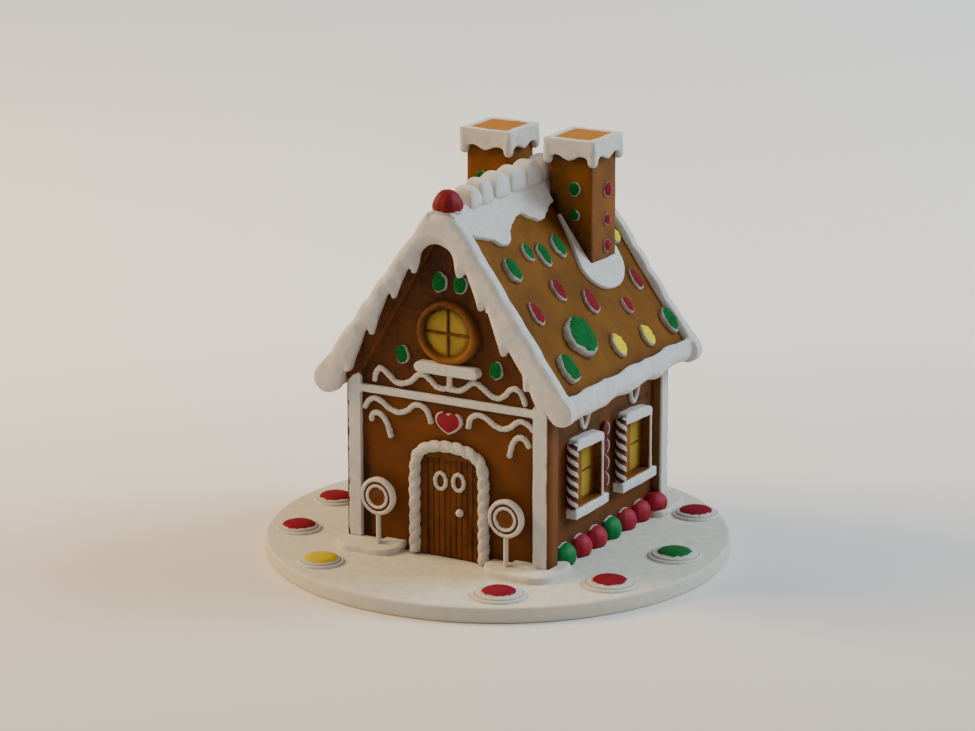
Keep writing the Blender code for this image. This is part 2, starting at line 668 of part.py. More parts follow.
def make_round_window(name, wall_y, out):
    """Ring round a sunk pane, turned as one piece and laid flat against the gable."""
    rim = (WINDOW_OUTER_RADIUS + WINDOW_PANE_RADIUS) / 2
    profile = [(0, 0.9 * MM), (WINDOW_PANE_RADIUS, 0.9 * MM), (WINDOW_PANE_RADIUS + 0.3 * MM, 2.2 * MM),
               (rim, 3.0 * MM), (WINDOW_OUTER_RADIUS - 0.4 * MM, 2.2 * MM),
               (WINDOW_OUTER_RADIUS, 0), (0, 0)]
    window = turned_part(name, profile, "ring", (0, 0, 0), segments=20)
    tilt = Matrix.Rotation(math.pi / 2 if out < 0 else -math.pi / 2, 4, "X")
    window.matrix_world = Matrix.Translation((WINDOW_X, wall_y + out * GAP, WINDOW_Z)) @ tilt


def make_heart():
    steps = 18
    outline = []
    for i in range(steps):
        t = 2 * math.pi * i / steps
        x = math.sin(t) ** 3
        z = (13 * math.cos(t) - 5 * math.cos(2 * t) - 2 * math.cos(3 * t) - math.cos(4 * t)) / 29
        outline.append((WINDOW_X + x * HEART_WIDTH / 2, HEART_Z + (z + 0.09) * HEART_HEIGHT))
    add_panel("heart", outline, FRONT_WALL_Y - GAP - RELIEF, FRONT_WALL_Y - GAP, "red")


# ---------------------------------------------------------------- door

def arch_path(half_width, top_z, corner):
    """Up one side, over a slightly curved lintel with round corners, and down the other."""
    foot = BASE_HEIGHT + GAP
    side = [(half_width, foot + (top_z - corner - foot) * i / 5) for i in range(5)]
    bend = arc((half_width - corner, top_z - corner), corner, 0, 78, 4)
    right = side + bend
    return right + [(0, top_z + ARCH_RISE)] + mirrored(right)


def make_door():
    """Plain door leaf inside a thick cord of icing."""
    centre_y = FRONT_WALL_Y - GAP - ARCH_RADIUS
    path = [(DOOR_X + x, centre_y, z) for x, z in arch_path(ARCH_HALF_WIDTH, ARCH_TOP_Z, ARCH_CORNER)]
    radii = [ARCH_RADIUS * (1.0 if i % 2 else 0.9) for i in range(len(path))]
    add_part("door_arch", tube_mesh("door_arch", path, radii), "icing")
    inside = ARCH_RADIUS + GAP
    leaf = arch_path(ARCH_HALF_WIDTH - inside, ARCH_TOP_Z - inside, ARCH_CORNER - inside)
    leaf = [(DOOR_X + x, z) for x, z in leaf]
    add_panel("door", leaf, FRONT_WALL_Y - GAP - DOOR_THICKNESS, FRONT_WALL_Y - GAP, "door")


# ---------------------------------------------------------------- lollipops

def make_lollipop(name, x):
    """Flat round sweet on a stick."""
    half = LOLLIPOP_HALF_THICKNESS
    face = [(0, half), (LOLLIPOP_RADIUS - 0.8 * MM, half), (LOLLIPOP_RADIUS, half - 0.8 * MM)]
    profile = face + [(radius, -height) for radius, height in reversed(face)]
    head = turned_part(name, profile, "icing", (0, 0, 0), segments=20)
    place = Matrix.Translation((x, LOLLIPOP_Y, LOLLIPOP_Z))
    head.matrix_world = place @ Matrix.Rotation(math.pi / 2, 4, "X")
    foot_z = BASE_HEIGHT + SNOW_HEIGHT + GAP
    top_z = LOLLIPOP_Z - LOLLIPOP_RADIUS + 1.5 * MM
    bm = bmesh.new()
    bmesh.ops.create_cone(bm, cap_ends=True, segments=10, radius1=STICK_RADIUS,
                          radius2=STICK_RADIUS, depth=top_z - foot_z)
    stick = add_cutter(f"{name}_stick", mesh_from_bmesh(f"{name}_stick", bm),
                       Matrix.Translation((x, LOLLIPOP_Y, (top_z + foot_z) / 2)))
    combine(head, stick, "UNION")


# ---------------------------------------------------------------- side windows

def make_side_frame(name, side, middle_y):
    """Lintel, one thin jamb and a deeper sill, in one piece of icing."""
    sign = 1 if side == "right" else -1
    wall = WALL_HALF_WIDTH + GAP
    start = middle_y + SIDE_COLUMN_OFFSET
    end = middle_y + SIDE_JAMB_OFFSET

    def x_range(depth):
        return sorted((sign * wall, sign * (wall + depth)))

    jamb_x = x_range(SIDE_FRAME_DEPTH)
    jamb = box_mesh(name, (jamb_x[0], end - JAMB_WIDTH, SIDE_SILL_Z[1] - 1 * MM),
                    (jamb_x[1], end, SIDE_LINTEL_Z[0] + 1 * MM))
    frame = add_part(name, jamb, "icing")
    lintel_x = x_range(SIDE_FRAME_DEPTH + 0.5 * MM)
    lintel = box_mesh(f"{name}_lintel",
                      (lintel_x[0], start + COLUMN_RADIUS + GAP, SIDE_LINTEL_Z[0]),
                      (lintel_x[1], end + 0.4 * MM, SIDE_LINTEL_Z[1]))
    combine(frame, add_cutter(f"{name}_lintel", lintel), "UNION")
    sill_x = x_range(SIDE_SILL_DEPTH)
    sill = box_mesh(f"{name}_sill", (sill_x[0], start - 0.4 * MM, SIDE_SILL_Z[0]),
                    (sill_x[1], end + 2.6 * MM, SIDE_SILL_Z[1]))
    combine(frame, add_cutter(f"{name}_sill", sill), "UNION")


def make_column(name, side, middle_y):
    """Stick of two strands twisted together, standing on the end of the sill."""
    sign = 1 if side == "right" else -1
    steps = 14
    foot = SIDE_SILL_Z[1] + GAP
    bm = bmesh.new()
    ring = bmesh.ops.create_circle(bm, segments=8, radius=1, cap_ends=True)["verts"]
    for vert in ring:
        lobe = abs(vert.co.x)
        radius = COLUMN_WAIST + (COLUMN_RADIUS - COLUMN_WAIST) * lobe
        vert.co = vert.co * radius
    bmesh.ops.spin(bm, geom=bm.faces[:], cent=(0, 0, 0), axis=(0, 0, 1), steps=steps,
                   dvec=(0, 0, (COLUMN_TOP_Z - foot) / steps),
                   angle=-2 * math.pi * COLUMN_TURNS, use_duplicate=False)
    x = sign * (WALL_HALF_WIDTH + 2 * GAP + COLUMN_RADIUS)
    place = Matrix.Translation((x, middle_y + SIDE_COLUMN_OFFSET, foot))
    add_part(name, mesh_from_bmesh(name, bm), "icing", place)


# ---------------------------------------------------------------- sweets

def dome_profile(radius, height):
    """Gumdrop: sides that lean in a little under a round top."""
    profile = [(0, height)]
    for i in range(1, 4):
        angle = math.radians(90 - 26 * i)
        profile.append((radius * 0.94 * math.cos(angle),
                        height - radius * (1 - math.sin(angle))))
    return profile + [(radius, height * 0.2), (radius * 0.93, 0), (0, 0)]


def make_side_drop(name, side, position, foot_z, colour):
    """Gumdrop pressed against the foot of a side wall, flat where it meets it."""
    sign = 1 if side == "right" else -1
    x, y = position
    drop = turned_part(name, dome_profile(DROP_RADIUS, DROP_HEIGHT), colour,
                       (sign * x, y, foot_z + GAP), segments=12)
    reach = 30 * MM
    x_range = sorted((sign * (WALL_HALF_WIDTH + GAP), sign * (WALL_HALF_WIDTH - reach)))
    room = box_mesh("room", (x_range[0], y - reach, 0), (x_range[1], y + reach, reach))
    combine(drop, add_cutter(f"{name}_room", room), "DIFFERENCE")


def make_sweet(name, angle, distance, radius, colour):
    """Coloured disc on two flat rings, turned as one piece, on the base."""
    turn = math.radians(angle)
    position = (distance * math.sin(turn), -distance * math.cos(turn), BASE_HEIGHT + GAP)
    step = radius - SWEET_RING_STEP
    profile = [(0, 2.5 * MM), (SWEET_DISC_RADIUS - 1.4 * MM, 2.4 * MM), (SWEET_DISC_RADIUS, 1.9 * MM),
               (step - 0.2 * MM, 1.8 * MM), (step, 1.0 * MM), (radius - 0.3 * MM, 0.9 * MM),
               (radius, 0), (0, 0)]
    turned_part(name, profile, colour, position, segments=18)


def make_gem():
    """The one large gem of the right slope."""
    profile = [(0, GEM_HEIGHT), (GEM_RADIUS * 0.6, GEM_HEIGHT * 0.97),
               (GEM_RADIUS * 0.86, GEM_HEIGHT * 0.72), (GEM_RADIUS * 0.98, GEM_HEIGHT * 0.3),
               (GEM_RADIUS, 0), (0, 0)]
    gem = turned_part("gem_large", profile, "green", (0, 0, 0), segments=18)
    squash = Matrix.Diagonal((1, GEM_SQUASH, 1, 1))
    gem.matrix_world = slope_matrix("right", GAP) @ Matrix.Translation((GEM_RUN, GEM_Y, 0)) @ squash


# ---------------------------------------------------------------- the whole house

make_base()
make_walls()
make_roof_panels()
make_rakes()
make_eaves()
make_ridge()
for side in ("right", "left"):
    make_stack(side)
    make_cap(side)
    make_collar(side)
make_gable_icing("icing_front", FRONT_WALL_Y, -1)
make_gable_icing("icing_rear", REAR_WALL_Y, 1)
make_round_window("round_window_front", FRONT_WALL_Y, -1)
make_round_window("round_window_rear", REAR_WALL_Y, 1)
make_heart()
make_door()
make_lollipop("lollipop_right", LOLLIPOP_X)
make_lollipop("lollipop_left", -LOLLIPOP_X)
for side in ("right", "left"):
    for number, window_y in enumerate(SIDE_WINDOW_Y, 1):
        make_side_frame(f"window_frame_{side}_{number}", side, window_y)
        make_column(f"window_column_{side}_{number}", side, window_y)
    for number, (drop_y, drop_colour) in enumerate(zip(DROP_Y, DROP_COLOURS), 1):
        make_side_drop(f"gumdrop_{side}_{number}", side, (DROP_X, drop_y), BASE_HEIGHT, drop_colour)
    make_side_drop(f"gumdrop_{side}_{len(DROP_Y) + 1}", side, LAST_DROP, BASE_HEIGHT + SNOW_HEIGHT,
                   "red")
turned_part("gumdrop_ridge", dome_profile(RIDGE_DROP_RADIUS, RIDGE_DROP_HEIGHT), "red",
            (0, RIDGE_DROP_Y, RIDGE_TOP_Z + GAP), segments=16)
for number, sweet in enumerate(SWEETS, 1):
    make_sweet(f"sweet_{number}", *sweet)
make_gem()
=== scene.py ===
"""Gingerbread house ornament: the painted looks of a cast copy on its round base.

Metres, +Z up, the door towards -Y, the origin under the middle of the base.
"""
import functools
import math

import bmesh
import bpy
from mathutils import Matrix, Vector, noise


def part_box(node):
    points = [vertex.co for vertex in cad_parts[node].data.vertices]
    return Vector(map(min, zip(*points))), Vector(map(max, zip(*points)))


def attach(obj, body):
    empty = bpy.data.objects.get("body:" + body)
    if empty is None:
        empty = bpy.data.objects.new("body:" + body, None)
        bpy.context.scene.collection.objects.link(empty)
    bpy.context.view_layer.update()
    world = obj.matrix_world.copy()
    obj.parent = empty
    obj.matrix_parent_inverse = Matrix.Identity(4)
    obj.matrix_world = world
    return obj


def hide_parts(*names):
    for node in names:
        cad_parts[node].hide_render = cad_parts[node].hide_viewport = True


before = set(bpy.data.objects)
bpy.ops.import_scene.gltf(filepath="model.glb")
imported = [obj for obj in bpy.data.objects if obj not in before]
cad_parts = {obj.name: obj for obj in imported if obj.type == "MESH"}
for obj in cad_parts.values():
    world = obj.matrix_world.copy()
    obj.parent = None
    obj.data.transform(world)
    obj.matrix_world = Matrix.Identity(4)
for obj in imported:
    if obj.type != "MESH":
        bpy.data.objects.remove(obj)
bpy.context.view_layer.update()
MM = 0.001


# ---------------------------------------------------------------- camera, floor and light
# The ornament stands on a pale sheet with painted light on it, in soft light: a warm soft box
# low on its left, a cool one high behind its right side, and an even pale room around them.

camera_data = bpy.data.cameras.new("camera")
camera_data.sensor_width = 36
camera_data.lens = 130.8
camera_data.clip_start = 0.05
camera_data.clip_end = 20
camera = bpy.data.objects.new("camera", camera_data)
camera.location = (0.7189, -1.2604, 0.4879)
camera.rotation_euler = (math.radians(90 - 15.68), 0, math.radians(29.875))
bpy.context.scene.collection.objects.link(camera)
bpy.context.scene.camera = camera


def soft_box(name, place, size, power, colour):
    """Square soft light that points at the middle of the house."""
    data = bpy.data.lights.new(name, "AREA")
    data.energy = power
    data.size = size
    data.color = colour
    lamp = bpy.data.objects.new(name, data)
    lamp.location = place
    aim = Vector((0, 0, 80 * MM)) - Vector(place)
    lamp.rotation_euler = aim.to_track_quat("-Z", "Y").to_euler()
    bpy.context.scene.collection.objects.link(lamp)


soft_box("cool_soft_box", (2.15, 1.9, 2.0), 1.7, 132, (0.66, 0.86, 1.0))
soft_box("warm_soft_box", (-1.33, -0.42, 1.0), 0.8, 38, (1.0, 0.645, 0.27))

world = bpy.data.worlds.new("pale_room")
bpy.context.scene.world = world
world.use_nodes = True
world.node_tree.nodes["Background"].inputs["Color"].default_value = (1.0, 0.965, 0.93, 1)
world.node_tree.nodes["Background"].inputs["Strength"].default_value = 0.50


def new_node(tree, kind, **settings):
    made = tree.nodes.new(kind)
    for name, value in settings.items():
        setattr(made, name, value)
    return made


def new_material(name):
    """Material with its shader, and a matte cast finish by default."""
    material = bpy.data.materials.new(name)
    material.use_nodes = True
    shader = material.node_tree.nodes["Principled BSDF"]
    shader.inputs["Metallic"].default_value = 0
    shader.inputs["Specular IOR Level"].default_value = 0.16
    return material, material.node_tree, shader


def feed(tree, node, output, *values, **named):
    """Set or link the inputs of a node, by number or by name, and return one output."""
    for key, value in (*enumerate(values), *named.items()):
        if isinstance(value, bpy.types.NodeSocket):
            tree.links.new(value, node.inputs[key])
        else:
            node.inputs[key].default_value = value
    return node.outputs[output] if node.outputs else None


def maths(tree, operation, *values, clamp=False):
    made = new_node(tree, "ShaderNodeMath", operation=operation, use_clamp=clamp)
    return feed(tree, made, "Value", *values)


def ranged(tree, *values):
    """Map a value from one range (from, to) to another, or to 0 and 1."""
    return feed(tree, new_node(tree, "ShaderNodeMapRange"), "Result", *values)


def blend(tree, factor, first, second):
    made = new_node(tree, "ShaderNodeMix", data_type="RGBA")
    return feed(tree, made, "Result", Factor=factor, A=first, B=second)


def own_place(tree):
    """Place on the piece, in its own coordinates."""
    return new_node(tree, "ShaderNodeTexCoord").outputs["Object"]


def painted_light_sheet():
    """Pale sheet with painted light: warm at the left turning cool at the right, darker in front
    and lighter to the back.
    """
    material, tree, shader = new_material("pale_sheet_with_painted_light")
    turned = feed(tree, new_node(tree, "ShaderNodeMapping"), "Vector", own_place(tree),
                  Rotation=(0, 0, math.radians(-29.9)))
    split = new_node(tree, "ShaderNodeSeparateXYZ")
    tree.links.new(turned, split.inputs["Vector"])
    # painted light: warm on the left under the warm lamp, cool on the right under the cool lamp
    across = blend(tree, ranged(tree, split.outputs["X"], -0.3, 0.3), (1.0, 0.96, 0.91, 1),
                   (0.97, 0.99, 1.0, 1))
    # painted shade in front and painted light to the back, making up for how the lamps' light falls
    # off
    back = ranged(tree, split.outputs["Y"], -0.28, 0.36)
    tree.links.new(blend(tree, back, (0.64, 0.60, 0.555, 1), across), shader.inputs["Base Color"])
    shader.inputs["Roughness"].default_value = 0.6
    return material


floor_mesh = bpy.data.meshes.new("floor")
floor_mesh.from_pydata([(-7, -7, 0), (7, -7, 0), (7, 7, 0), (-7, 7, 0)], [], [(0, 1, 2, 3)])
floor_mesh.materials.append(painted_light_sheet())
floor = bpy.data.objects.new("floor", floor_mesh)
bpy.context.scene.collection.objects.link(floor)


# ---------------------------------------------------------------- base
# Round cast plate, painted off-white, a little darker at its rounded rim and in faint patches,
# with a low bank of snow moulded round each corner of the house. The plate has softly rounded
# edges.

def cast_finish_group():
    """Paint on a cast part: mottled colour, dark paint and painted shade in the hollows the mask
    marks, fine grit.
    """
    group = bpy.data.node_groups.new("cast_finish", "ShaderNodeTree")
    face = group.interface
    for name, kind in (("Colour", "NodeSocketColor"), ("Shade", "NodeSocketColor"),
                       ("Speck", "NodeSocketColor"), ("Wash", "NodeSocketFloat"),
                       ("Mottle", "NodeSocketFloat"), ("Size", "NodeSocketFloat"),
                       ("Specks", "NodeSocketFloat"), ("Roughness", "NodeSocketFloat")):
        face.new_socket(name=name, in_out="INPUT", socket_type=kind)
    for name, kind in (("Colour", "NodeSocketColor"), ("Roughness", "NodeSocketFloat"),
                       ("Height", "NodeSocketFloat")):
        face.new_socket(name=name, in_out="OUTPUT", socket_type=kind)
    given = new_node(group, "NodeGroupInput").outputs
    where = own_place(group)

    def blotches(finer, detail):
        return feed(group, new_node(group, "ShaderNodeTexNoise"), "Fac", Vector=where,
                    Scale=maths(group, "MULTIPLY", given["Size"], finer), Detail=detail,
                    Roughness=0.6)

    def times(first, second):
        return maths(group, "MULTIPLY", first, second)

    def plus(first, second, clamp=False):
        return maths(group, "ADD", first, second, clamp=clamp)

    broad = blotches(1.0, 3.0)
    fine = blotches(7.0, 5.0)
    grit = blotches(32.0, 3.0)
    mottled = times(ranged(group, broad, 0.38, 0.68), given["Mottle"])
    broken = ranged(group, fine, 0.3, 0.7, 0.55, 1.25)
    # the mask mixes in the shade colour: dark paint and painted shade
    shade = plus(times(given["Wash"], broken), mottled, True)
    specks = times(ranged(group, grit, 0.62, 0.72), given["Specks"])
    painted = blend(group, shade, given["Colour"], given["Shade"])
    tone = feed(group, new_node(group, "ShaderNodeHueSaturation"), "Color", Color=painted,
                Value=ranged(group, fine, 0.25, 0.75, 0.86, 1.14))
    put = new_node(group, "NodeGroupOutput")
    feed(group, put, 0, blend(group, specks, tone, given["Speck"]),
         plus(given["Roughness"], ranged(group, fine, 0.3, 0.7, -0.06, 0.08)),
         plus(fine, times(grit, given["Mottle"])))
    return group


CAST_FINISH = cast_finish_group()


def cast_material(name, colour, shade, speck=(0.8, 0.8, 0.8), wash_and_shade=None, mottle=0.25, size=60,
                  specks=0.2, roughness=0.72, relief=0.12, tops=None, mask=None, shine=0.16):
    """Painted cast surface. An attribute gives dark paint and painted shade; another may pick a
    second colour.
    """
    material, tree, shader = new_material(name)
    finish = new_node(tree, "ShaderNodeGroup", node_tree=CAST_FINISH)
    for socket, value in (("Shade", (*shade, 1)), ("Speck", (*speck, 1)), ("Mottle", mottle),
                          ("Size", size), ("Specks", specks), ("Roughness", roughness),
                          ("Wash", 0), ("Colour", (*colour, 1))):
        finish.inputs[socket].default_value = value
    if wash_and_shade:
        painted = new_node(tree, "ShaderNodeAttribute", attribute_name=wash_and_shade)
        tree.links.new(painted.outputs["Fac"], finish.inputs["Wash"])
    if mask:
        picked = new_node(tree, "ShaderNodeAttribute", attribute_name=mask).outputs["Fac"]
        torn = feed(tree, new_node(tree, "ShaderNodeTexNoise"), "Fac", Vector=own_place(tree),
                    Scale=900)
        ragged = maths(tree, "MULTIPLY_ADD", torn, 0.5, -0.25)
        edge = ranged(tree, maths(tree, "ADD", ragged, picked), 0.42, 0.58)
        tree.links.new(blend(tree, edge, (*colour, 1), (*tops, 1)), finish.inputs["Colour"])
    tree.links.new(finish.outputs["Colour"], shader.inputs["Base Color"])
    tree.links.new(finish.outputs["Roughness"], shader.inputs["Roughness"])
    shader.inputs["Specular IOR Level"].default_value = shine
    bump = feed(tree, new_node(tree, "ShaderNodeBump"), "Normal", Strength=0.6,
                Distance=relief * MM, Height=finish.outputs["Height"])
    tree.links.new(bump, shader.inputs["Normal"])
    return material


def wander(point, size, seed=0):
    """Smooth random value from -1 to 1 that changes over the given size."""
    return noise.noise(point / size + Vector((seed * 7.3, seed * 3.1, seed * 5.7)))


def patchy(strength, size, seed):
    """Mask of faint, soft darker patches at random."""
    return {"wash_and_shade": lambda point: strength * max(0, wander(point, size, seed))}


def add_shells(bm, other):
    """Put the shells of another mesh into this one."""
    held = bpy.data.meshes.new("held")
    other.to_mesh(held)
    other.free()
    bm.from_mesh(held)
    bpy.data.meshes.remove(held)


def finish_piece(name, bm, material, slot, *nodes, masks=None, smooth=True):
    """Make the mesh a piece of the model; each mask is a function of a point of the surface."""
    bmesh.ops.recalc_face_normals(bm, faces=bm.faces)
    mesh = bpy.data.meshes.new(name)
    bm.to_mesh(mesh)
    bm.free()
    mesh.polygons.foreach_set("use_smooth", [smooth] * len(mesh.polygons))
    mesh.materials.append(material)
    for mask, value in (masks or {}).items():
        layer = mesh.attributes.new(mask, "FLOAT", "POINT")
        layer.data.foreach_set("value", [value(vert.co) for vert in mesh.vertices])
    piece = bpy.data.objects.new(name, mesh)
    bpy.context.scene.collection.objects.link(piece)
    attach(piece, "root")
    if nodes:
        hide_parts(*nodes)
    return piece


def join_rings(bm, rings, endless=False):
    """Skin over rings of equal length; the two ends are closed unless it is endless."""
    rings = [[bm.verts.new(point) for point in ring] for ring in rings]
    following = rings[1:] + rings[:1] if endless else rings[1:]
    for ring, after in zip(rings, following):
        for i in range(len(ring)):
            j = (i + 1) % len(ring)
            bm.faces.new((ring[i], ring[j], after[j], after[i]))
    if not endless:
        bm.faces.new(list(reversed(rings[0])))
        bm.faces.new(rings[-1])
    return rings


def add_block(bm, outline, low, high, place):
    """Closed block: an outline of (u, v) points between two levels of w."""
    join_rings(bm, [[place(u, v, w) for u, v in outline] for w in (low, high)])


def arc(centre, radius, start, end, steps):
    """Points along an arc, both angles in degrees."""
    angles = [math.radians(start + (end - start) * i / steps) for i in range(steps + 1)]
    return [(centre[0] + radius * math.cos(a), centre[1] + radius * math.sin(a)) for a in angles]


def melt(name, bm, voxel, rounds, lumps=0.0, lump_size=6 * MM, grain=0.0, grain_size=1 * MM):
    """Merge overlapping shells into one soft skin, as icing sets, then make it uneven."""
    bmesh.ops.recalc_face_normals(bm, faces=bm.faces)
    mesh = bpy.data.meshes.new(f"{name}_shells")
    bm.to_mesh(mesh)
    bm.free()
    shells = bpy.data.objects.new(f"{name}_shells", mesh)
    bpy.context.scene.collection.objects.link(shells)
    skin = shells.modifiers.new("one skin", "REMESH")
    skin.mode = "VOXEL"
    skin.voxel_size = voxel
    soften = shells.modifiers.new("soften", "SMOOTH")
    soften.factor = 0.5
    soften.iterations = rounds
    ready = shells.evaluated_get(bpy.context.evaluated_depsgraph_get())
    melted = bmesh.new()
    melted.from_mesh(ready.to_mesh())
    ready.to_mesh_clear()
    bpy.data.objects.remove(shells)
    bpy.data.meshes.remove(mesh)
    melted.normal_update()
    moves = [vert.normal * (lumps * wander(vert.co, lump_size, 1)
                            + grain * wander(vert.co, grain_size, 2)) for vert in melted.verts]
    for vert, move in zip(melted.verts, moves):
        vert.co += move
    return melted


BASE_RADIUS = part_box("base_plate")[1][0]
PLATE_TOP = 6.8 * MM
PLATE_EDGE = 1.1 * MM
BANK_INNER_X = 21.3 * MM
BANK_REACH = 14.1 * MM
BANK_CORNER = 9 * MM
BANK_END_X = 40 * MM
LEDGES = ((31.9 * MM, 44 * MM), (-30.6 * MM, -20.6 * MM))
LEDGE_REACH = 4.6 * MM
DRIFT = ((40, -33), (47.5, -33), (46.4, 10), (47.2, 55), (40, 57))
DRIFT_HEIGHT = 1.3 * MM
SNOW_TOP = PLATE_TOP + 2.9 * MM
LEDGE_TOP = SNOW_TOP + 1.2 * MM
FRONT_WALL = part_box("door")[1][1] + 0.3 * MM
REAR_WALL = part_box("icing_rear")[0][1] - 0.3 * MM
WALL_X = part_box("wall_block")[1][0]
SLAB_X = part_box("gable_front")[1][0]

BASE_PAINT = cast_material("off_white_base", (0.578, 0.552, 0.470), (0.40, 0.37, 0.32),
                           speck=(0.62, 0.61, 0.59), wash_and_shade="wash_and_shade", mottle=0.02, size=35, specks=0.05,
                           roughness=0.8, relief=0.05)


def bank_outline(end, side):
    """Plan of one bank of snow: it wraps a corner of the house."""
    front = end == "front"
    out = -1 if front else 1
    wall = FRONT_WALL if front else REAR_WALL
    outer = ((53.6 if side > 0 else 51.0) if front else 53.0) * MM
    reach = wall + out * BANK_REACH
    turn_y = reach - out * BANK_CORNER
    points = arc((BANK_INNER_X + BANK_CORNER, turn_y), BANK_CORNER, 180, 180 - out * 90, 6)
    points += arc((outer - BANK_CORNER, turn_y), BANK_CORNER, out * 90, 0, 6)
    if front:
        points += [(outer, -34.2 * MM), (outer - 1.2 * MM, -30.5 * MM), (50.0 * MM, -28.4 * MM)]
    else:
        points += [(54.9 * MM, 53.8 * MM), (53.6 * MM, 50.8 * MM), (51.5 * MM, 49.6 * MM)]
    points += [(BANK_END_X, points[-1][1]), (BANK_END_X, wall - out * 3 * MM),
               (BANK_INNER_X, wall - out * 3 * MM)]
    return [(side * x, y) for x, y in points]


def make_base():
    bm = bmesh.new()
    profile = [(0.01 * MM, 0), (BASE_RADIUS - PLATE_EDGE, 0)]
    profile += arc((BASE_RADIUS - PLATE_EDGE, PLATE_EDGE), PLATE_EDGE, -60, 0, 3)
    profile += arc((BASE_RADIUS - PLATE_EDGE, PLATE_TOP - PLATE_EDGE), PLATE_EDGE, 0, 90, 5)
    profile += [(BASE_RADIUS - 2.5 * MM, PLATE_TOP), (80 * MM, PLATE_TOP), (40 * MM, PLATE_TOP),
                (0.01 * MM, PLATE_TOP)]
    steps = 180
    rings = []
    for radius, height in profile:
        ring = []
        for i in range(steps):
            turn = 2 * math.pi * i / steps
            point = Vector((radius * math.cos(turn), radius * math.sin(turn), height))
            uneven = 0.12 * MM * wander(point, 25 * MM) if height > 0 else 0
            point += Vector((point.x, point.y, 0)).normalized() * uneven * (radius > 90 * MM)
            ring.append(point)
        rings.append(ring)
    join_rings(bm, rings)
    banks = bmesh.new()

    def flat(x, y, z):
        return Vector((x, y, z))

    for end in ("front", "rear"):
        for side in (1, -1):
            add_block(banks, bank_outline(end, side), PLATE_TOP - 2 * MM, SNOW_TOP, flat)
    for x_from, x_to in LEDGES:
        ledge = [(x_from, FRONT_WALL + MM), (x_from, FRONT_WALL - LEDGE_REACH),
                 (x_to, FRONT_WALL - LEDGE_REACH), (x_to, FRONT_WALL + MM)]
        add_block(banks, ledge, SNOW_TOP - MM, LEDGE_TOP, flat)
    for side in (1, -1):
        drift = [(side * x * MM, y * MM) for x, y in DRIFT]
        add_block(banks, drift, PLATE_TOP - 2 * MM, PLATE_TOP + DRIFT_HEIGHT, flat)
    soft = melt("snow_banks", banks, 0.6 * MM, 6, lumps=0.5 * MM, lump_size=14 * MM)
    bmesh.ops.bisect_plane(soft, geom=soft.verts[:] + soft.edges[:] + soft.faces[:],
                           plane_co=(0, 0, PLATE_TOP - 0.5 * MM), plane_no=(0, 0, -1),
                           clear_outer=True)
    bmesh.ops.holes_fill(soft, edges=[e for e in soft.edges if e.is_boundary])
    add_shells(bm, soft)

    # darker over the outer part of the rounded rim, and in faint patches
    def darker_rim_and_patches(point):
        radius = math.hypot(point.x, point.y)
        rim = min(1.0, max(0.0, (radius - 99.2 * MM) / (0.8 * MM)))
        return 0.35 * rim + 0.06 * max(0, wander(point, 30 * MM, 3))

    finish_piece("snowy_base", bm, BASE_PAINT, "base", "base_plate", masks={"wash_and_shade": darker_rim_and_patches})


make_base()


# ---------------------------------------------------------------- gingerbread walls
# Two gable slabs with a block of walls between them, cast in one and painted red-brown,
# darker in every corner with dark paint and painted shade. A raised board edges each gable under
# the icing.

WALL_PAINT = cast_material("gingerbread_wall", (0.150, 0.0455, 0.0052), (0.034, 0.0105, 0.0022),
                           speck=(0.19, 0.075, 0.012), wash_and_shade="wash_and_shade", mottle=0.30, size=45,
                           specks=0.12, roughness=0.62, relief=0.10)
ROOF_RISE = 1.365
ROOF_APEX = 158.5 * MM
ROOF_COS = math.cos(math.atan(ROOF_RISE))
ROOF_SIN = math.sin(math.atan(ROOF_RISE))
BOARD_APEX = 150.4 * MM
BOARD_RISE = 1.652
BOARD_FOOT = 78.4 * MM
BOARD_RELIEF = 1.8 * MM
GABLE_THICKNESS = 6.2 * MM
GABLE_FOOT = PLATE_TOP + 0.1 * MM
WINDOW_MIDDLES = (-8.0 * MM, 36.0 * MM)
SIDE_FRONT = -35.8 * MM
SIDE_LENGTH = 94.4 * MM
SIDE_TOP = 90 * MM
WINDOW_RECESS = 2.6 * MM


def below_roof(x, lift):
    """Height at x of the line that runs parallel to the slope at a lift square to it."""
    return ROOF_APEX + lift / ROOF_COS - ROOF_RISE * abs(x)


def step_between(value, low, high):
    """Smooth step from 0 at low to 1 at high."""
    t = min(1.0, max(0.0, (value - low) / (high - low)))
    return t * t * (3 - 2 * t)


def add_panel(bm, columns, rows, point, back):
    """Closed panel: a grid of front points, and the same border moved to the back."""
    grid = [[bm.verts.new(point(i / columns, j / rows)) for i in range(columns + 1)]
            for j in range(rows + 1)]
    for j in range(rows):
        for i in range(columns):
            bm.faces.new((grid[j][i], grid[j][i + 1], grid[j + 1][i + 1], grid[j + 1][i]))
    border = grid[0][:-1] + [row[-1] for row in grid[:-1]] + list(reversed(grid[-1]))[:-1]
    border += [row[0] for row in reversed(grid[1:])]
    behind = [bm.verts.new(back(vert.co)) for vert in border]
    for i in range(len(border)):
        j = (i + 1) % len(border)
        bm.faces.new((border[j], border[i], behind[i], behind[j]))
    bm.faces.new(behind)


def board_side(x, z):
    """How far a gable point is outside the inner line of the raised board."""
    return (abs(x) * BOARD_RISE - (BOARD_APEX - z)) / math.hypot(1, BOARD_RISE)


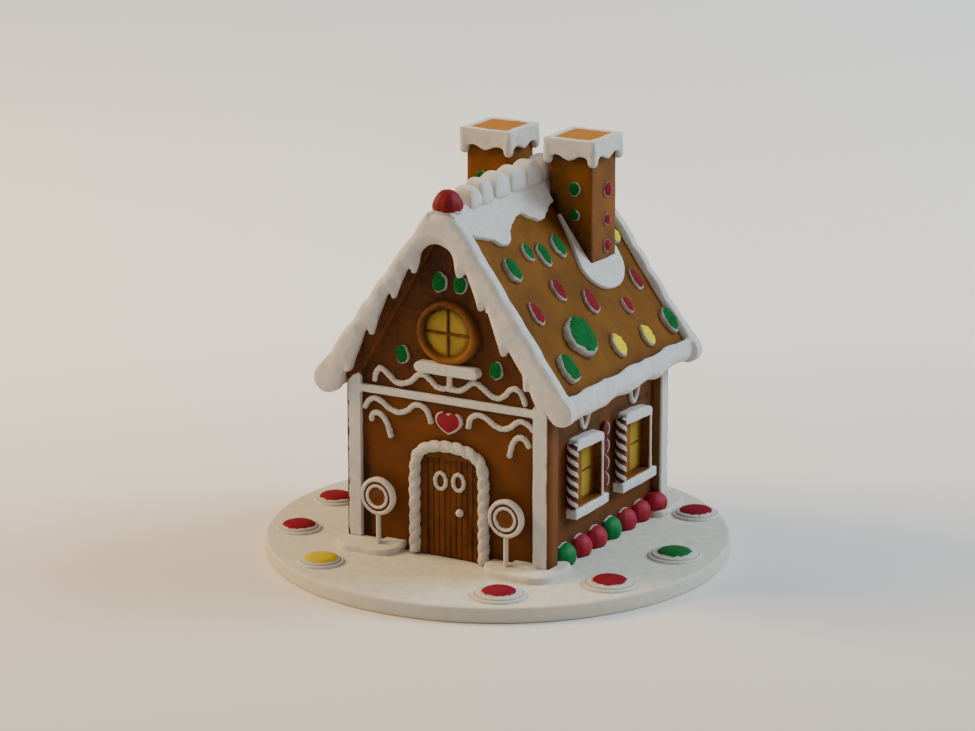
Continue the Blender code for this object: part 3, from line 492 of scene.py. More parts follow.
def gable_relief(x, z, front):
    """Height of the gable's face over the plain wall."""
    point = Vector((x, 0, z))
    height = 0.16 * MM * wander(point, 16 * MM, 5) + 0.05 * MM * wander(point, 4 * MM, 6)
    if z > BOARD_FOOT - MM:
        height += BOARD_RELIEF * step_between(board_side(x, z), -0.35 * MM, 0.35 * MM)
        height += 0.35 * MM * math.exp(-((board_side(x, z) - 0.7 * MM) / (0.5 * MM)) ** 2)
    elif front:
        height += 2.0 * MM * step_between(abs(x), SLAB_X - 0.95 * MM, SLAB_X - 0.75 * MM)
    if front:
        grooved = step_between(x, -27 * MM, -22 * MM) * step_between(-x, 12.5 * MM, 16 * MM)
        grooved *= step_between(z, 97 * MM, 99 * MM) * step_between(-z, -113 * MM, -111 * MM)
        height -= 0.22 * MM * grooved * max(0, math.sin(z / (0.42 * MM) + 9 * x / MM * 0.03))
    return height


def wall_paint_shade_and_highlight(point):
    """Dark paint and painted shade, strongest against the icing, the door's arch and the window
    ring.
    """
    x, z = point.x, point.z
    near = []
    if z > BOARD_FOOT:
        near.append(1.3)
    near.append(abs(abs(x) - 40.6 * MM) / (3.2 * MM))
    near.append(abs(z - 76.6 * MM) / (4.5 * MM))
    near.append(abs(math.hypot(x - 1 * MM, z - 105.6 * MM) - 12.7 * MM) / (4.0 * MM))
    near.append(abs(z - 9 * MM) / (3 * MM))
    if point.y < 0:
        across = abs(x - 1.2 * MM) - 20.0 * MM
        over = (math.hypot((x - 1.2 * MM) / (20.0 * MM), (z - 44 * MM) / (14.0 * MM)) - 1) * 15 * MM
        near.append(0.5 + max(0, over if z > 44 * MM else across) / (3.0 * MM))
    dark = math.exp(-min(near)) * (1.0 + 0.5 * wander(point, 9 * MM, 8))
    # painted shadow of the corner strip, on the lower wall beside it at negative x
    dark *= 1 + 2.2 * step_between(-x, 30 * MM, 39 * MM) * step_between(-z, -56 * MM, -22 * MM)
    # the upper gable darker: dark paint and painted shade under the roof icing
    high = 0.36 * step_between(z, 77 * MM, 86 * MM) + 0.27 * step_between(z, 96 * MM, 132 * MM)
    # painted highlight along the edge of the raised board
    if z > BOARD_FOOT:
        high -= 0.34 * math.exp(-((board_side(x, z) - 0.6 * MM) / (0.6 * MM)) ** 2)
    return min(1.0, 0.62 * dark + high + 0.16 * max(0, wander(point, 22 * MM, 9)))


def make_gable(end):
    front = end == "front"
    out = -1 if front else 1
    face_y = FRONT_WALL if front else REAR_WALL
    low = GABLE_FOOT
    high = below_roof(0, -0.8 * MM) - 0.4 * MM
    bm = bmesh.new()

    def point(u, v):
        z = low + (high - low) * v
        half = min(SLAB_X, (ROOF_APEX - 0.8 * MM / ROOF_COS - z) / ROOF_RISE)
        side = 2 * u - 1
        x = half * side
        round_off = 0.5 * MM * step_between(abs(x), SLAB_X - 0.8 * MM, SLAB_X)
        height = gable_relief(x, z, front) - round_off
        uneven = 0.18 * MM * wander(Vector((0, 50 * MM, z)), 7 * MM, 4) * (half == SLAB_X)
        return Vector((x + side * min(0, uneven) * abs(side) ** 8, face_y + out * height, z))

    def back(place):
        return Vector((place.x, face_y - out * GABLE_THICKNESS, place.z))

    add_panel(bm, 150, 190, point, back)
    finish_piece(f"gable_wall_{end}", bm, WALL_PAINT, "wall", f"gable_{end}",
                 masks={"wash_and_shade": wall_paint_shade_and_highlight})


make_gable("front")
make_gable("rear")


def side_wall_paint_and_shade(point):
    """Dark paint and painted shade on a side wall: at both ends, near its foot and round and behind
    the windows.
    """
    y, z = point.y, point.z
    near = [abs(y + 35.2 * MM) / (2.5 * MM), abs(y - 58 * MM) / (4 * MM)]
    for middle in WINDOW_MIDDLES:
        frame_side = max(abs(y - middle + 0.4 * MM) - 15.6 * MM, abs(z - 42.5 * MM) - 18 * MM)
        near.append(abs(frame_side) / (3 * MM) if frame_side > 0 else 1.2)
    near.append(abs(z - 12 * MM) / (6 * MM))
    dark = math.exp(-min(near)) * (1.0 + 0.5 * wander(point, 9 * MM, 8))
    return min(1.0, 0.75 * dark + 0.25 * max(0, wander(point, 22 * MM, 9)))


def make_side_walls():
    bm = bmesh.new()
    for side in (1, -1):
        def point(u, v):
            y = SIDE_FRONT + SIDE_LENGTH * u
            z = GABLE_FOOT + (SIDE_TOP - GABLE_FOOT) * v
            uneven = 0.22 * MM * wander(Vector((side, y, z)), 15 * MM, 11)
            uneven += 0.06 * MM * wander(Vector((side, y, z)), 3 * MM, 12)
            for middle in WINDOW_MIDDLES:
                if abs(y - middle) < 10.8 * MM and 29 * MM < z < 56 * MM:
                    uneven = -WINDOW_RECESS
            return Vector((side * (WALL_X + uneven), y, z))

        add_panel(bm, 110, 100, point, lambda place: Vector((side * 38 * MM, place.y, place.z)))
    finish_piece("side_walls", bm, WALL_PAINT, "wall", "wall_block", masks={"wash_and_shade": side_wall_paint_and_shade})


make_side_walls()


# ---------------------------------------------------------------- roof panels
# Two flat gingerbread panels, painted a lighter golden brown than the walls, pitted and
# mottled like baked dough, with a little dark paint and painted shade against the icing and round
# the chimneys.

ROOF_PAINT = cast_material("gingerbread_roof", (0.170, 0.0665, 0.0078), (0.062, 0.018, 0.0022),
                           speck=(0.34, 0.17, 0.030), wash_and_shade="wash_and_shade", mottle=0.42, size=70,
                           specks=0.42, roughness=0.72, relief=0.17, shine=0.08)


ROOF_TOP_RUN = 2 * MM
ROOF_RUN = 94 * MM
ROOF_FRONT = -43.0 * MM
ROOF_LENGTH = 111.2 * MM
ROOF_THICKNESS = 3.8 * MM


def on_roof(side, run, y, lift):
    """Point of a slope: run down it from the apex line, along the house, lift square to it."""
    return Vector((side * (run * ROOF_COS + lift * ROOF_SIN), y,
                   ROOF_APEX - run * ROOF_SIN + lift * ROOF_COS))


# dark paint and painted shade along the icing at both gables, along the eave and round the chimney
# foot, with faint darker patches
def roof_paint_and_shade(point):
    run = (ROOF_APEX - point.z) / ROOF_SIN
    y = point.y
    near = [0.7 + abs(y + 42.0 * MM) / (2.0 * MM), 0.9 + abs(y - 67 * MM) / (1.5 * MM),
            0.5 + abs(run - 93 * MM) / (2.2 * MM)]
    chimney = max(abs(y - 40.6 * MM) - 11.5 * MM, abs(run - 32 * MM) - 18 * MM)
    near.append(max(0, chimney) / (5 * MM))
    dark = math.exp(-min(near)) * (1.0 + 0.5 * wander(point, 7 * MM, 13))
    return min(1.0, 0.8 * dark + 0.30 * max(0, wander(point, 20 * MM, 14)))


def make_roof():
    for name, side in (("right", 1), ("left", -1)):
        bm = bmesh.new()

        def point(u, v):
            run = ROOF_TOP_RUN + ROOF_RUN * v
            y = ROOF_FRONT + ROOF_LENGTH * u
            pit = wander(Vector((run, y, side)), 3.4 * MM, 16)
            lift = 0.18 * MM * wander(Vector((run, y, side)), 14 * MM, 15)
            lift -= 0.22 * MM * max(0, pit - 0.35)
            return on_roof(side, run, y, lift)

        def back(place):
            return place - on_roof(side, 0, 0, ROOF_THICKNESS) + on_roof(side, 0, 0, 0)

        add_panel(bm, 140, 118, point, back)
        finish_piece(f"roof_panel_{name}", bm, ROOF_PAINT, "roof", f"roof_{name}",
                     masks={"wash_and_shade": roof_paint_and_shade})


make_roof()


# ---------------------------------------------------------------- icing on the roof
# One thick coat of white icing: scalloped along both gables, rolled over both eaves, run
# down from the ridge in tongues, with a row of piped beads along the top.

ICING = cast_material("royal_icing", (0.550, 0.535, 0.512), (0.35, 0.31, 0.265),
                      speck=(0.7, 0.7, 0.7), wash_and_shade="wash_and_shade", mottle=0.08, size=40, specks=0.0,
                      roughness=0.75, relief=0.05)
SCALLOPS_RIGHT = ((6.4, 129.7, 9.3, 131.6), (16.6, 116.9, 18.8, 118.4), (27.3, 99.2, 29.6, 101.2),
                  (39.2, 86.5, 40.5, 87.9))
SCALLOPS_LEFT = ((-14.6, 129.0, -16.6, 131.0), (-24.4, 117.0, -26.4, 119.2),
                 (-35.4, 100.0, -37.6, 102.2), (-46.2, 83.0, -47.4, 84.0))
RAKE_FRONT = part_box("icing_rake_front")[0][1]
RAKE_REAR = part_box("icing_rake_rear")[1][1]
EAVE_BOTTOMS = ((-52, 73.4), (-46, 73.6), (-38, 73.5), (-29, 73.9), (-22, 73.0), (-16, 73.0),
                (-10, 73.2), (-4, 74.6), (0, 74.8), (10, 73.6), (19.5, 74), (29, 74.9), (38, 73.0),
                (45.5, 74.7), (57, 75.2), (66, 74.9), (75, 76.4))
TONGUES = ((-46, 13), (-41, 15.6), (-35, 18.0), (-28, 20.6), (-22.5, 24.6), (-19, 25.2),
           (-15.6, 23.8), (-12.8, 20.2), (-8, 17.6), (-2, 15.4), (2.3, 14.9), (8, 18.2),
           (12.7, 20.6), (16.5, 20.6), (20, 18.6), (27.6, 15.6), (34, 15.0), (44, 18.2),
           (51, 20.4), (57, 16.4), (64, 17.4), (73, 19))
ICING_SUNK = -1.5 * MM
TONGUE_LIFT = 2.0 * MM
EAVE_OUT = 59.2 * MM
EAVE_LIP = 92.7 * MM
DRIP_SEARCH = 9 * MM
RIDGE_BEADS = ((-26.4, 4.6), (-17.0, 5.2), (-3.8, 6.6), (10.0, 6.6), (23.6, 6.6), (37.2, 6.6),
               (50.8, 6.6), (63.4, 5.4))


def between(table, value):
    """Smooth reading of a table of (place, value) pairs."""
    for (a, low), (b, high) in zip(table, table[1:]):
        if value <= b:
            return low + (high - low) * step_between(value, a, b)
    return table[-1][1]


def flowing(points, steps):
    """Smooth curve through points of any dimension."""
    points = [Vector(p) for p in points]
    padded = [points[0] * 2 - points[1]] + points + [points[-1] * 2 - points[-2]]
    path = []
    for a, b, c, d in zip(padded, padded[1:], padded[2:], padded[3:]):
        for i in range(steps):
            t = i / steps
            path.append(0.5 * ((2 * b) + (c - a) * t + (2 * a - 5 * b + 4 * c - d) * t * t
                               + (3 * b - a - 3 * c + d) * t ** 3))
    return path + [points[-1]]


def facing(y, out):
    """Places outlines of (x, z) points on an upright wall; w stands out from it."""
    return lambda u, v, w: Vector((u, y + out * w, v))


def rake_side(side, scallops):
    """Outer edge from the apex to the lobe, and the scalloped edge back up."""
    outer = []
    for i in range(3, 47):
        run = i * 2.0 * MM
        pillow = abs(math.sin(run / (5.2 * MM) + side + 0.6 * math.sin(run / (9 * MM))))
        lift = (2.5 if side > 0 else 3.8) * MM + 0.9 * MM * pillow ** 0.7
        outer.append((run * ROOF_COS + lift * ROOF_SIN,
                      ROOF_APEX - run * ROOF_SIN + lift * ROOF_COS))
    if side > 0:
        lobe = arc((55.7 * MM, 79.2 * MM), 5.9 * MM, 40, -172, 12)
    else:
        lobe = arc((56.2 * MM, 78.8 * MM), 6.6 * MM, 40, -172, 12)
    outline = outer + lobe
    if side > 0:
        outline += [(47.2 * MM, 77.6 * MM), (44.2 * MM, 80.2 * MM), (42.4 * MM, 84.0 * MM)]
    for x, z, notch_x, notch_z in reversed(scallops):
        x, z, notch_x, notch_z = abs(x) * MM, z * MM, abs(notch_x) * MM, notch_z * MM
        outline += [(notch_x + 0.7 * MM, notch_z + 0.2 * MM), (notch_x, notch_z + 0.3 * MM),
                    (x + 1.5 * MM, z + 0.2 * MM), (x + 0.5 * MM, z - 0.4 * MM),
                    (x - 0.7 * MM, z), (x - 1.3 * MM, z + 1.8 * MM)]
        if z < 125 * MM:
            outline.append((x - 2.6 * MM, z + 6.0 * MM))
    return [(side * u, v) for u, v in outline]


def rake_outline():
    right = rake_side(1, SCALLOPS_RIGHT)
    left = rake_side(-1, SCALLOPS_LEFT)
    crown = [(x * MM, z * MM) for x, z in
             ((-5.5, 155.0), (-3.2, 156.4), (0, 156.8), (3.2, 156.4), (5.5, 155.0))]
    inner = [(x * MM, z * MM) for x, z in
             ((4.6, 133.4), (4.1, 137.2), (3.2, 139.3), (1.5, 141.2), (-1.2, 142.4), (-4.6, 142.8),
              (-8.2, 141.7), (-10.8, 139.4), (-11.9, 137.0), (-12.3, 134.0))]
    return crown + right + inner + list(reversed(left))


def quarter_round(distance, reach):
    """Rises from 0 at an edge to 1 at the given reach, like a quarter of a wave."""
    return math.sin(min(1.0, distance / reach) * math.pi / 2)


def thin_drips(bm, outline):
    """The icing on a gable gets thinner towards its two edges, most at the scalloped one."""
    edges = []
    for (x, z), after in zip(outline, outline[1:] + outline[:1]):
        scalloped = abs(x) < 52 * MM and z < below_roof(x, 0) - 4 * MM
        edges.append((Vector((x, z)), Vector(after), scalloped))
    for end, wall in ((-1, 43.0 * MM), (1, 67.0 * MM)):
        for vert in bm.verts:
            out = end * vert.co.y - wall
            if out <= 0:
                continue
            spot = Vector((vert.co.x, vert.co.z))
            near = {True: DRIP_SEARCH, False: DRIP_SEARCH}
            for start, after, scalloped in edges:
                if abs(start.x - spot.x) < DRIP_SEARCH and abs(start.y - spot.y) < 12 * MM:
                    along = after - start
                    t = (spot - start).dot(along) / max(1e-12, along.length_squared)
                    gap = (start + along * min(1.0, max(0.0, t)) - spot).length
                    near[scalloped] = min(near[scalloped], gap)
            kept = 0.30 + 0.70 * quarter_round(near[True], 4.6 * MM)
            kept *= 0.58 + 0.42 * math.sqrt(quarter_round(near[False], 3.6 * MM))
            kept += (1 - kept) * 0.75 * step_between(-spot.y, -93 * MM, -85 * MM)
            vert.co.y -= end * out * (1 - kept)


def make_roof_icing():
    bm = bmesh.new()
    outline = rake_outline()
    front = -RAKE_FRONT
    add_block(bm, outline, 42.3 * MM, front - 0.1 * MM, facing(0, -1))
    add_block(bm, outline, 66.4 * MM, RAKE_REAR - 1.4 * MM, facing(0, 1))
    for side in (1, -1):
        slope = functools.partial(on_roof, side)
        steps = 30
        for end, edge, outer in (("front", -41.4 * MM, RAKE_FRONT + 0.7 * MM),
                                 ("rear", 66.2 * MM, RAKE_REAR - 1.8 * MM)):
            inner_edge, outer_edge = [], []
            for i in range(steps + 1):
                run = ROOF_TOP_RUN + ROOF_RUN * i / steps
                wave = 0.45 * MM * wander(Vector((run, edge, side)), 9 * MM, 20)
                narrower = 2.6 * MM * step_between(run, 66 * MM, 93 * MM) if end == "front" else 0
                inner_edge.append((run, edge + wave - narrower))
                outer_edge.append((run, outer))
            lift = (2.6 if side > 0 else 3.1) * MM if end == "front" else 2.0 * MM
            add_block(bm, inner_edge + list(reversed(outer_edge)), ICING_SUNK, lift, slope)
        tongue, top = [], []
        for i in range(121):
            y = RAKE_FRONT + 1 * MM + (RAKE_REAR - RAKE_FRONT - 2 * MM) * i / 120
            lookup = y / MM if side > 0 else 24 - y / MM
            tongue.append((between(TONGUES, lookup) * MM - 0.4 * MM, y))
            top.append((2.2 * MM, y))
        add_block(bm, tongue + list(reversed(top)), ICING_SUNK, TONGUE_LIFT, slope)
        sections = []
        for i in range(61):
            y = RAKE_FRONT + 0.4 * MM + (RAKE_REAR - RAKE_FRONT - 0.8 * MM) * i / 60
            bottom = between(EAVE_BOTTOMS, y / MM) * MM
            place = Vector((side, y, 0))
            outer = EAVE_OUT + 0.9 * MM * wander(place, 17 * MM, 21)
            lip = EAVE_LIP + 0.9 * MM * wander(place, 8 * MM, 22)
            lip_x, lip_z = lip * ROOF_COS, ROOF_APEX - lip * ROOF_SIN
            ring = [(lip_x - 0.8 * MM, lip_z - 1.4 * MM), (lip_x + 1.9 * MM, lip_z + 1.6 * MM),
                    (lip_x + 3.6 * MM, lip_z + 0.2 * MM), (outer - 0.9 * MM, 82.4 * MM),
                    (outer, 79.4 * MM), (outer - 0.5 * MM, bottom + 2.4 * MM),
                    (outer - 2.4 * MM, bottom + 0.2 * MM), (outer - 4.6 * MM, bottom - 0.1 * MM),
                    (outer - 7 * MM, bottom + 1.6 * MM), (lip_x - 5.2 * MM, bottom + 5 * MM)]
            sections.append([(side * x, y, z) for x, z in ring])
        join_rings(bm, sections)
    crown = [(x * MM, z * MM) for x, z in ((-8, 149), (-5.6, 154.8), (-3.0, 156.6), (0, 157.0),
                                           (3.0, 156.6), (5.6, 154.8), (8, 149))]
    add_block(bm, crown, -RAKE_FRONT - 0.3 * MM, -RAKE_REAR + 1.8 * MM, facing(0, -1))
    soft = melt("roof_icing", bm, 0.6 * MM, 7, lumps=0.35 * MM, lump_size=9 * MM, grain=0.07 * MM,
                grain_size=2.2 * MM)
    thin_drips(soft, outline)
    finish_piece("roof_icing", soft, ICING, "icing", "icing_rake_front", "icing_rake_rear",
                 "icing_eave_right", "icing_eave_left", "icing_ridge",
                 masks=patchy(0.10, 12 * MM, 24))


make_roof_icing()


BEAD_REACH = 6.6
BEAD_TOP = 9.8
BEAD_FOOT = 156.2
LOW_BEAD = 0.85


def new_tree(name, sockets):
    """Empty node tree that takes in a geometry and the named sizes, and gives one back."""
    tree = bpy.data.node_groups.new(name, "GeometryNodeTree")
    face = tree.interface
    face.new_socket(name="Geometry", in_out="INPUT", socket_type="NodeSocketGeometry")
    for socket, kind, start in sockets + (("Material", "Material", None),):
        made = face.new_socket(name=socket, in_out="INPUT", socket_type=f"NodeSocket{kind}")
        if start is not None:
            made.default_value = start
    face.new_socket(name="Geometry", in_out="OUTPUT", socket_type="NodeSocketGeometry")
    return tree, new_node(tree, "NodeGroupInput")


def end_tree(tree, given, geometry):
    """Every tree ends the same way: real geometry, smooth, in its own material."""
    real = new_node(tree, "GeometryNodeRealizeInstances")
    smooth = new_node(tree, "GeometryNodeSetShadeSmooth")
    painted = new_node(tree, "GeometryNodeSetMaterial")
    put = new_node(tree, "NodeGroupOutput")
    tree.links.new(geometry, real.inputs["Geometry"])
    tree.links.new(real.outputs["Geometry"], smooth.inputs["Geometry"])
    tree.links.new(smooth.outputs["Geometry"], painted.inputs["Geometry"])
    tree.links.new(given.outputs["Material"], painted.inputs["Material"])
    tree.links.new(painted.outputs["Geometry"], put.inputs["Geometry"])


def shape(tree, mesh, material, **sizes):
    """Let a tree shape a bare mesh, and hand back the plain result."""
    host = bpy.data.objects.new("host", mesh)
    bpy.context.scene.collection.objects.link(host)
    growth = host.modifiers.new("shape", "NODES")
    growth.node_group = tree
    given = {name.replace("_", " ").title(): value for name, value in sizes.items()}
    for item in tree.interface.items_tree:
        if item.in_out == "INPUT" and item.name in given:
            growth[item.identifier] = given[item.name]
        elif item.in_out == "INPUT" and item.name == "Material":
            growth[item.identifier] = material
    ready = host.evaluated_get(bpy.context.evaluated_depsgraph_get())
    shaped = bpy.data.meshes.new_from_object(ready)
    bm = bmesh.new()
    bm.from_mesh(shaped)
    bpy.data.objects.remove(host)
    bpy.data.meshes.remove(shaped)
    bpy.data.meshes.remove(mesh)
    return bm


def setting_tree():
    """Sets one mould on every point, turned and scaled as the point says."""
    tree, given = new_tree("mould_setting", (("Moulds", "Collection", None),
                                             ("Size", "Float", 1.0)))
    moulds = feed(tree, new_node(tree, "GeometryNodeCollectionInfo"), "Instances",
                  Collection=given.outputs["Moulds"], **{"Separate Children": True,
                                                         "Reset Children": True})
    turn, size = (feed(tree, new_node(tree, "GeometryNodeInputNamedAttribute",
                                      data_type="FLOAT_VECTOR"), "Attribute", Name=name)
                  for name in ("mould_turn", "mould_size"))
    turned = feed(tree, new_node(tree, "FunctionNodeEulerToRotation"), "Rotation", turn)
    scale = feed(tree, new_node(tree, "ShaderNodeVectorMath", operation="SCALE"), "Vector", size,
                 Scale=given.outputs["Size"])
    number = new_node(tree, "GeometryNodeInputIndex").outputs["Index"]
    end_tree(tree, given, feed(
        tree, new_node(tree, "GeometryNodeInstanceOnPoints"), "Instances",
        Points=given.outputs["Geometry"], Instance=moulds, Rotation=turned, Scale=scale,
        **{"Pick Instance": True, "Instance Index": number}))
    return tree


SETTING = setting_tree()


def set_moulds(meshes, places, material):
    """Set one mould on each place, given as its centre, turn and size."""
    moulds = bpy.data.collections.new("moulds")
    for number, mesh in enumerate(meshes):
        moulds.objects.link(bpy.data.objects.new(f"mould_{number:03d}", mesh))
    row = bpy.data.meshes.new("places")
    row.from_pydata([centre for centre, turn, size in places], [], [])
    for label, part in (("mould_turn", 1), ("mould_size", 2)):
        layer = row.attributes.new(label, "FLOAT_VECTOR", "POINT")
        layer.data.foreach_set("vector", [value for place in places for value in place[part]])
    bm = shape(SETTING, row, material, moulds=moulds)
    for mesh in meshes:
        bpy.data.meshes.remove(mesh)
    bpy.data.collections.remove(moulds)
    return bm


def one_bead():
    """A fat loaf-shaped bead, flat underneath, as a plain mesh."""
    bm = bmesh.new()
    sections = []
    for i in range(15):
        bend = math.pi * (i / 14 - 0.5)
        swell = max(0.02, math.cos(bend)) ** 0.5
        y = BEAD_REACH * math.sin(bend) * MM
        half = 5.7 * MM * (0.55 + 0.45 * swell)
        top = (BEAD_TOP * swell - 0.2) * MM
        ring = [(half * math.copysign(abs(math.cos(a)) ** 0.5, math.cos(a)), y,
                 top * max(0, math.sin(a)) ** 0.7) for a in (math.pi * k / 16 for k in range(17))]
        ring += [(-half * 0.8, y, -2.6 * MM), (half * 0.8, y, -2.6 * MM)]
        sections.append(ring)
    join_rings(bm, sections)
    mesh = bpy.data.meshes.new("one_bead")
    bm.to_mesh(mesh)
    bm.free()
    return mesh


def make_ridge_beads():
    places = [((0, middle * MM, BEAD_FOOT * MM), (0, 0, 0),
               (1, reach / BEAD_REACH, 1 if reach > 5 else LOW_BEAD))
              for middle, reach in RIDGE_BEADS]
    bm = set_moulds([one_bead()], places, ICING)
    soft = melt("ridge_beads", bm, 0.45 * MM, 3, lumps=0.3 * MM, lump_size=5 * MM, grain=0.06 * MM,
                grain_size=1.6 * MM)

    # painted shade in the creases between the beads and along their foot
    def crease_shade(point):
        gap = min(abs(abs(point.y / MM - middle) - reach) for middle, reach in RIDGE_BEADS)
        return 0.35 * (1 - step_between(gap, 0.2, 1.3)) + 0.3 * (1 - step_between(
            point.z, 155.6 * MM, 157.2 * MM))

    finish_piece("ridge_beads", soft, ICING, "icing", masks={"wash_and_shade": crease_shade})


make_ridge_beads()


# ---------------------------------------------------------------- chimneys
# Square gingerbread stacks, one on each slope, each with a cap of icing that hangs in drips,
# a grainy plate let into its top, and an apron of icing round its foot.

STACK_PAINT = cast_material("gingerbread_stack", (0.180, 0.063, 0.0065), (0.014, 0.0035, 0.0008),
                            speck=(0.26, 0.125, 0.025), wash_and_shade="wash_and_shade", mottle=0.35, size=60,
                            specks=0.22, roughness=0.66, relief=0.12)
PLATE_PAINT = cast_material("chimney_plate", (0.37, 0.145, 0.018), (0.19, 0.065, 0.007),
                            speck=(0.5, 0.3, 0.1), mottle=0.4, size=160, specks=0.5,
                            roughness=0.8, relief=0.2)


def add_roll(bm, path, radius, normal, flat=1.0, sides=10, swell=0.0, swell_size=1.6 * MM):
    """Closed roll of icing along a path, with round ends; flat lowers it along the normal."""
    rings = []
    count = len(path)
    for i, place in enumerate(path):
        ahead = path[min(i + 1, count - 1)] - path[max(i - 1, 0)]
        ahead.normalize()
        across = normal.cross(ahead).normalized()
        size = radius(i / (count - 1)) if callable(radius) else radius
        size *= 1 + swell * wander(place, swell_size, 40)
        ends = [0.0]
        if i == 0:
            ends = [-1.5, -1.0, -0.5, 0.0]
        elif i == count - 1:
            ends = [0.0, 0.5, 1.0, 1.5]
        for bend in ends:
            middle = place + ahead * size * math.sin(bend)
            here = size * math.cos(bend)
            rings.append([middle + across * here * math.cos(a) + normal * here * flat * math.sin(a)
                          for a in (2 * math.pi * k / sides for k in range(sides))])
    join_rings(bm, rings)


STACK_FOOT = 100 * MM
CAP_NOTCH = 168.4 * MM
APRON_RUN, APRON_Y = 45.4, 38.8
APRON_LONG, APRON_WIDE = 14.2, 16.9


def drip_edge(length, depth_corner, depth_middle, steps):
    """Lower edge of the icing along one side: drips at the corners and in the middle."""
    edge = []
    for i in range(steps + 1):
        u = i / steps
        depth = depth_middle + (depth_corner - depth_middle) * (2 * u - 1) ** 2
        edge.append((length * (u - 0.5), -depth * ((1 + math.cos(4 * math.pi * u)) / 2) ** 1.1))
    return edge


def make_chimney(name, side):
    low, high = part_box(f"chimney_{name}")
    middle = (low + high) / 2
    half = (high - low) / 2
    bm = bmesh.new()
    corner = 0.7 * MM
    rings = []
    for i in range(40):
        z = STACK_FOOT + (high.z - 0.8 * MM - STACK_FOOT) * i / 39
        ring = []
        for k in range(4):
            turn = math.radians(90 * k)
            for degrees in (0, 45, 90):
                bend = turn + math.radians(degrees)
                sx = 1 if k in (0, 3) else -1
                sy = 1 if k in (0, 1) else -1
                x = middle.x + sx * (half.x - corner) + corner * math.cos(bend)
                y = middle.y + sy * (half.y - corner) + corner * math.sin(bend)
                uneven = 0.2 * MM * wander(Vector((x, y, z)), 9 * MM, 30)
                ring.append(Vector((x + sx * uneven, y + sy * uneven, z)))
        rings.append(ring)
    join_rings(bm, rings)

    # painted shade at the foot of the stack, darkest on its front face, and under the icing cap
    def stack_shade(point):
        foot = below_roof(point.x, 0)
        up = (point.z - foot) / (26 * MM)
        near_edge = step_between(low.y + 2 * MM - point.y, 0, MM)
        dark = math.exp(-max(0, up) ** 1.4 * 5) * (0.35 + 0.75 * near_edge)
        head = math.exp(-(high.z - 8 * MM - point.z) / (3 * MM)) * 0.5
        return min(1.0, dark * (1 + 0.5 * wander(point, 6 * MM, 31)) + max(0, min(head, 0.5)))

    bmesh.ops.subdivide_edges(bm, edges=[e for e in bm.edges if e.calc_length() > 6 * MM
                                         and abs(e.verts[0].co.z - e.verts[1].co.z) < MM],
                              cuts=9, use_grid_fill=False)
    finish_piece(f"chimney_stack_{name}", bm, STACK_PAINT, "wall", f"chimney_{name}",
                 masks={"wash_and_shade": stack_shade})

    plate = bmesh.new()
    edge = 1.3 * MM

    def top_point(u, v):
        x = low.x + edge - MM + (high.x - low.x - 2 * edge + 2 * MM) * u
        y = low.y + edge - MM + (high.y - low.y - 2 * edge + 2 * MM) * v
        return Vector((x, y, high.z - 0.6 * MM + 0.15 * MM * wander(Vector((x, y, 0)), 3 * MM, 32)))

    add_panel(plate, 24, 24, top_point, lambda place: Vector((place.x, place.y, high.z - 2 * MM)))
    finish_piece(f"chimney_plate_{name}", plate, PLATE_PAINT, "roof")

    cap = bmesh.new()
    cap_low, cap_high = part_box(f"chimney_icing_{name}")
    wall = 2.6 * MM
    top = high.z - 0.4 * MM
    size_x, size_y = cap_high.x - cap_low.x, cap_high.y - cap_low.y

    def side_panel(length, place):
        lower = [(u, CAP_NOTCH + v) for u, v in drip_edge(length, 3.0 * MM, 2.0 * MM, 32)]
        add_block(cap, lower + [(length / 2, top), (-length / 2, top)], 0, wall, place)

    for corner, inward in ((cap_low, 1), (cap_high, -1)):
        side_panel(size_x, lambda u, v, w: Vector((middle.x + u, corner.y + inward * w, v)))
        side_panel(size_y, lambda u, v, w: Vector((corner.x + inward * w, middle.y + u, v)))
    for x_from, x_to, y_from, y_to in (
            (cap_low.x, cap_high.x, cap_low.y, low.y + edge),
            (cap_low.x, cap_high.x, high.y - edge, cap_high.y),
            (cap_low.x, low.x + edge, cap_low.y, cap_high.y),
            (high.x - edge, cap_high.x, cap_low.y, cap_high.y)):
        add_block(cap, [(x_from, y_from), (x_to, y_from), (x_to, y_to), (x_from, y_to)],
                  top - 3.2 * MM, top, lambda u, v, w: Vector((u, v, w)))
    for x in (cap_low.x + 1.7 * MM, cap_high.x - 1.7 * MM):
        for y in (cap_low.y + 1.7 * MM, cap_high.y - 1.7 * MM):
            drop = [Vector((x, y, z * MM)) for z in (172, 170, 168, 166.2)]
            add_roll(cap, drop, 2.2 * MM, Vector((1, 0, 0)), sides=12)
    soft = melt(f"chimney_cap_{name}", cap, 0.5 * MM, 6, lumps=0.25 * MM, lump_size=7 * MM,
                grain=0.06 * MM, grain_size=2 * MM)
    finish_piece(f"chimney_cap_{name}", soft, ICING, "icing", f"chimney_icing_{name}",
                 masks=patchy(0.08, 8 * MM, 33))

    apron = bmesh.new()
    outline = [(21.0, 54.5), (20.5, 50), (20.5, 29.4), (24, 28.6), (29, 27.7), (34, 26.2),
               (39, 24.0)]
    outline += [(APRON_RUN + APRON_LONG * u, APRON_Y + APRON_WIDE * v)
                for u, v in arc((0, 0), 1, -88, 92, 16)]
    outline += [(38, 55.3), (30, 55.0)]
    outline = [(run * MM, y * MM) for run, y in outline]
    add_block(apron, outline, -1.2 * MM, 1.7 * MM, functools.partial(on_roof, side))
    soft = melt(f"chimney_apron_{name}", apron, 0.55 * MM, 4, lumps=0.2 * MM, lump_size=7 * MM)

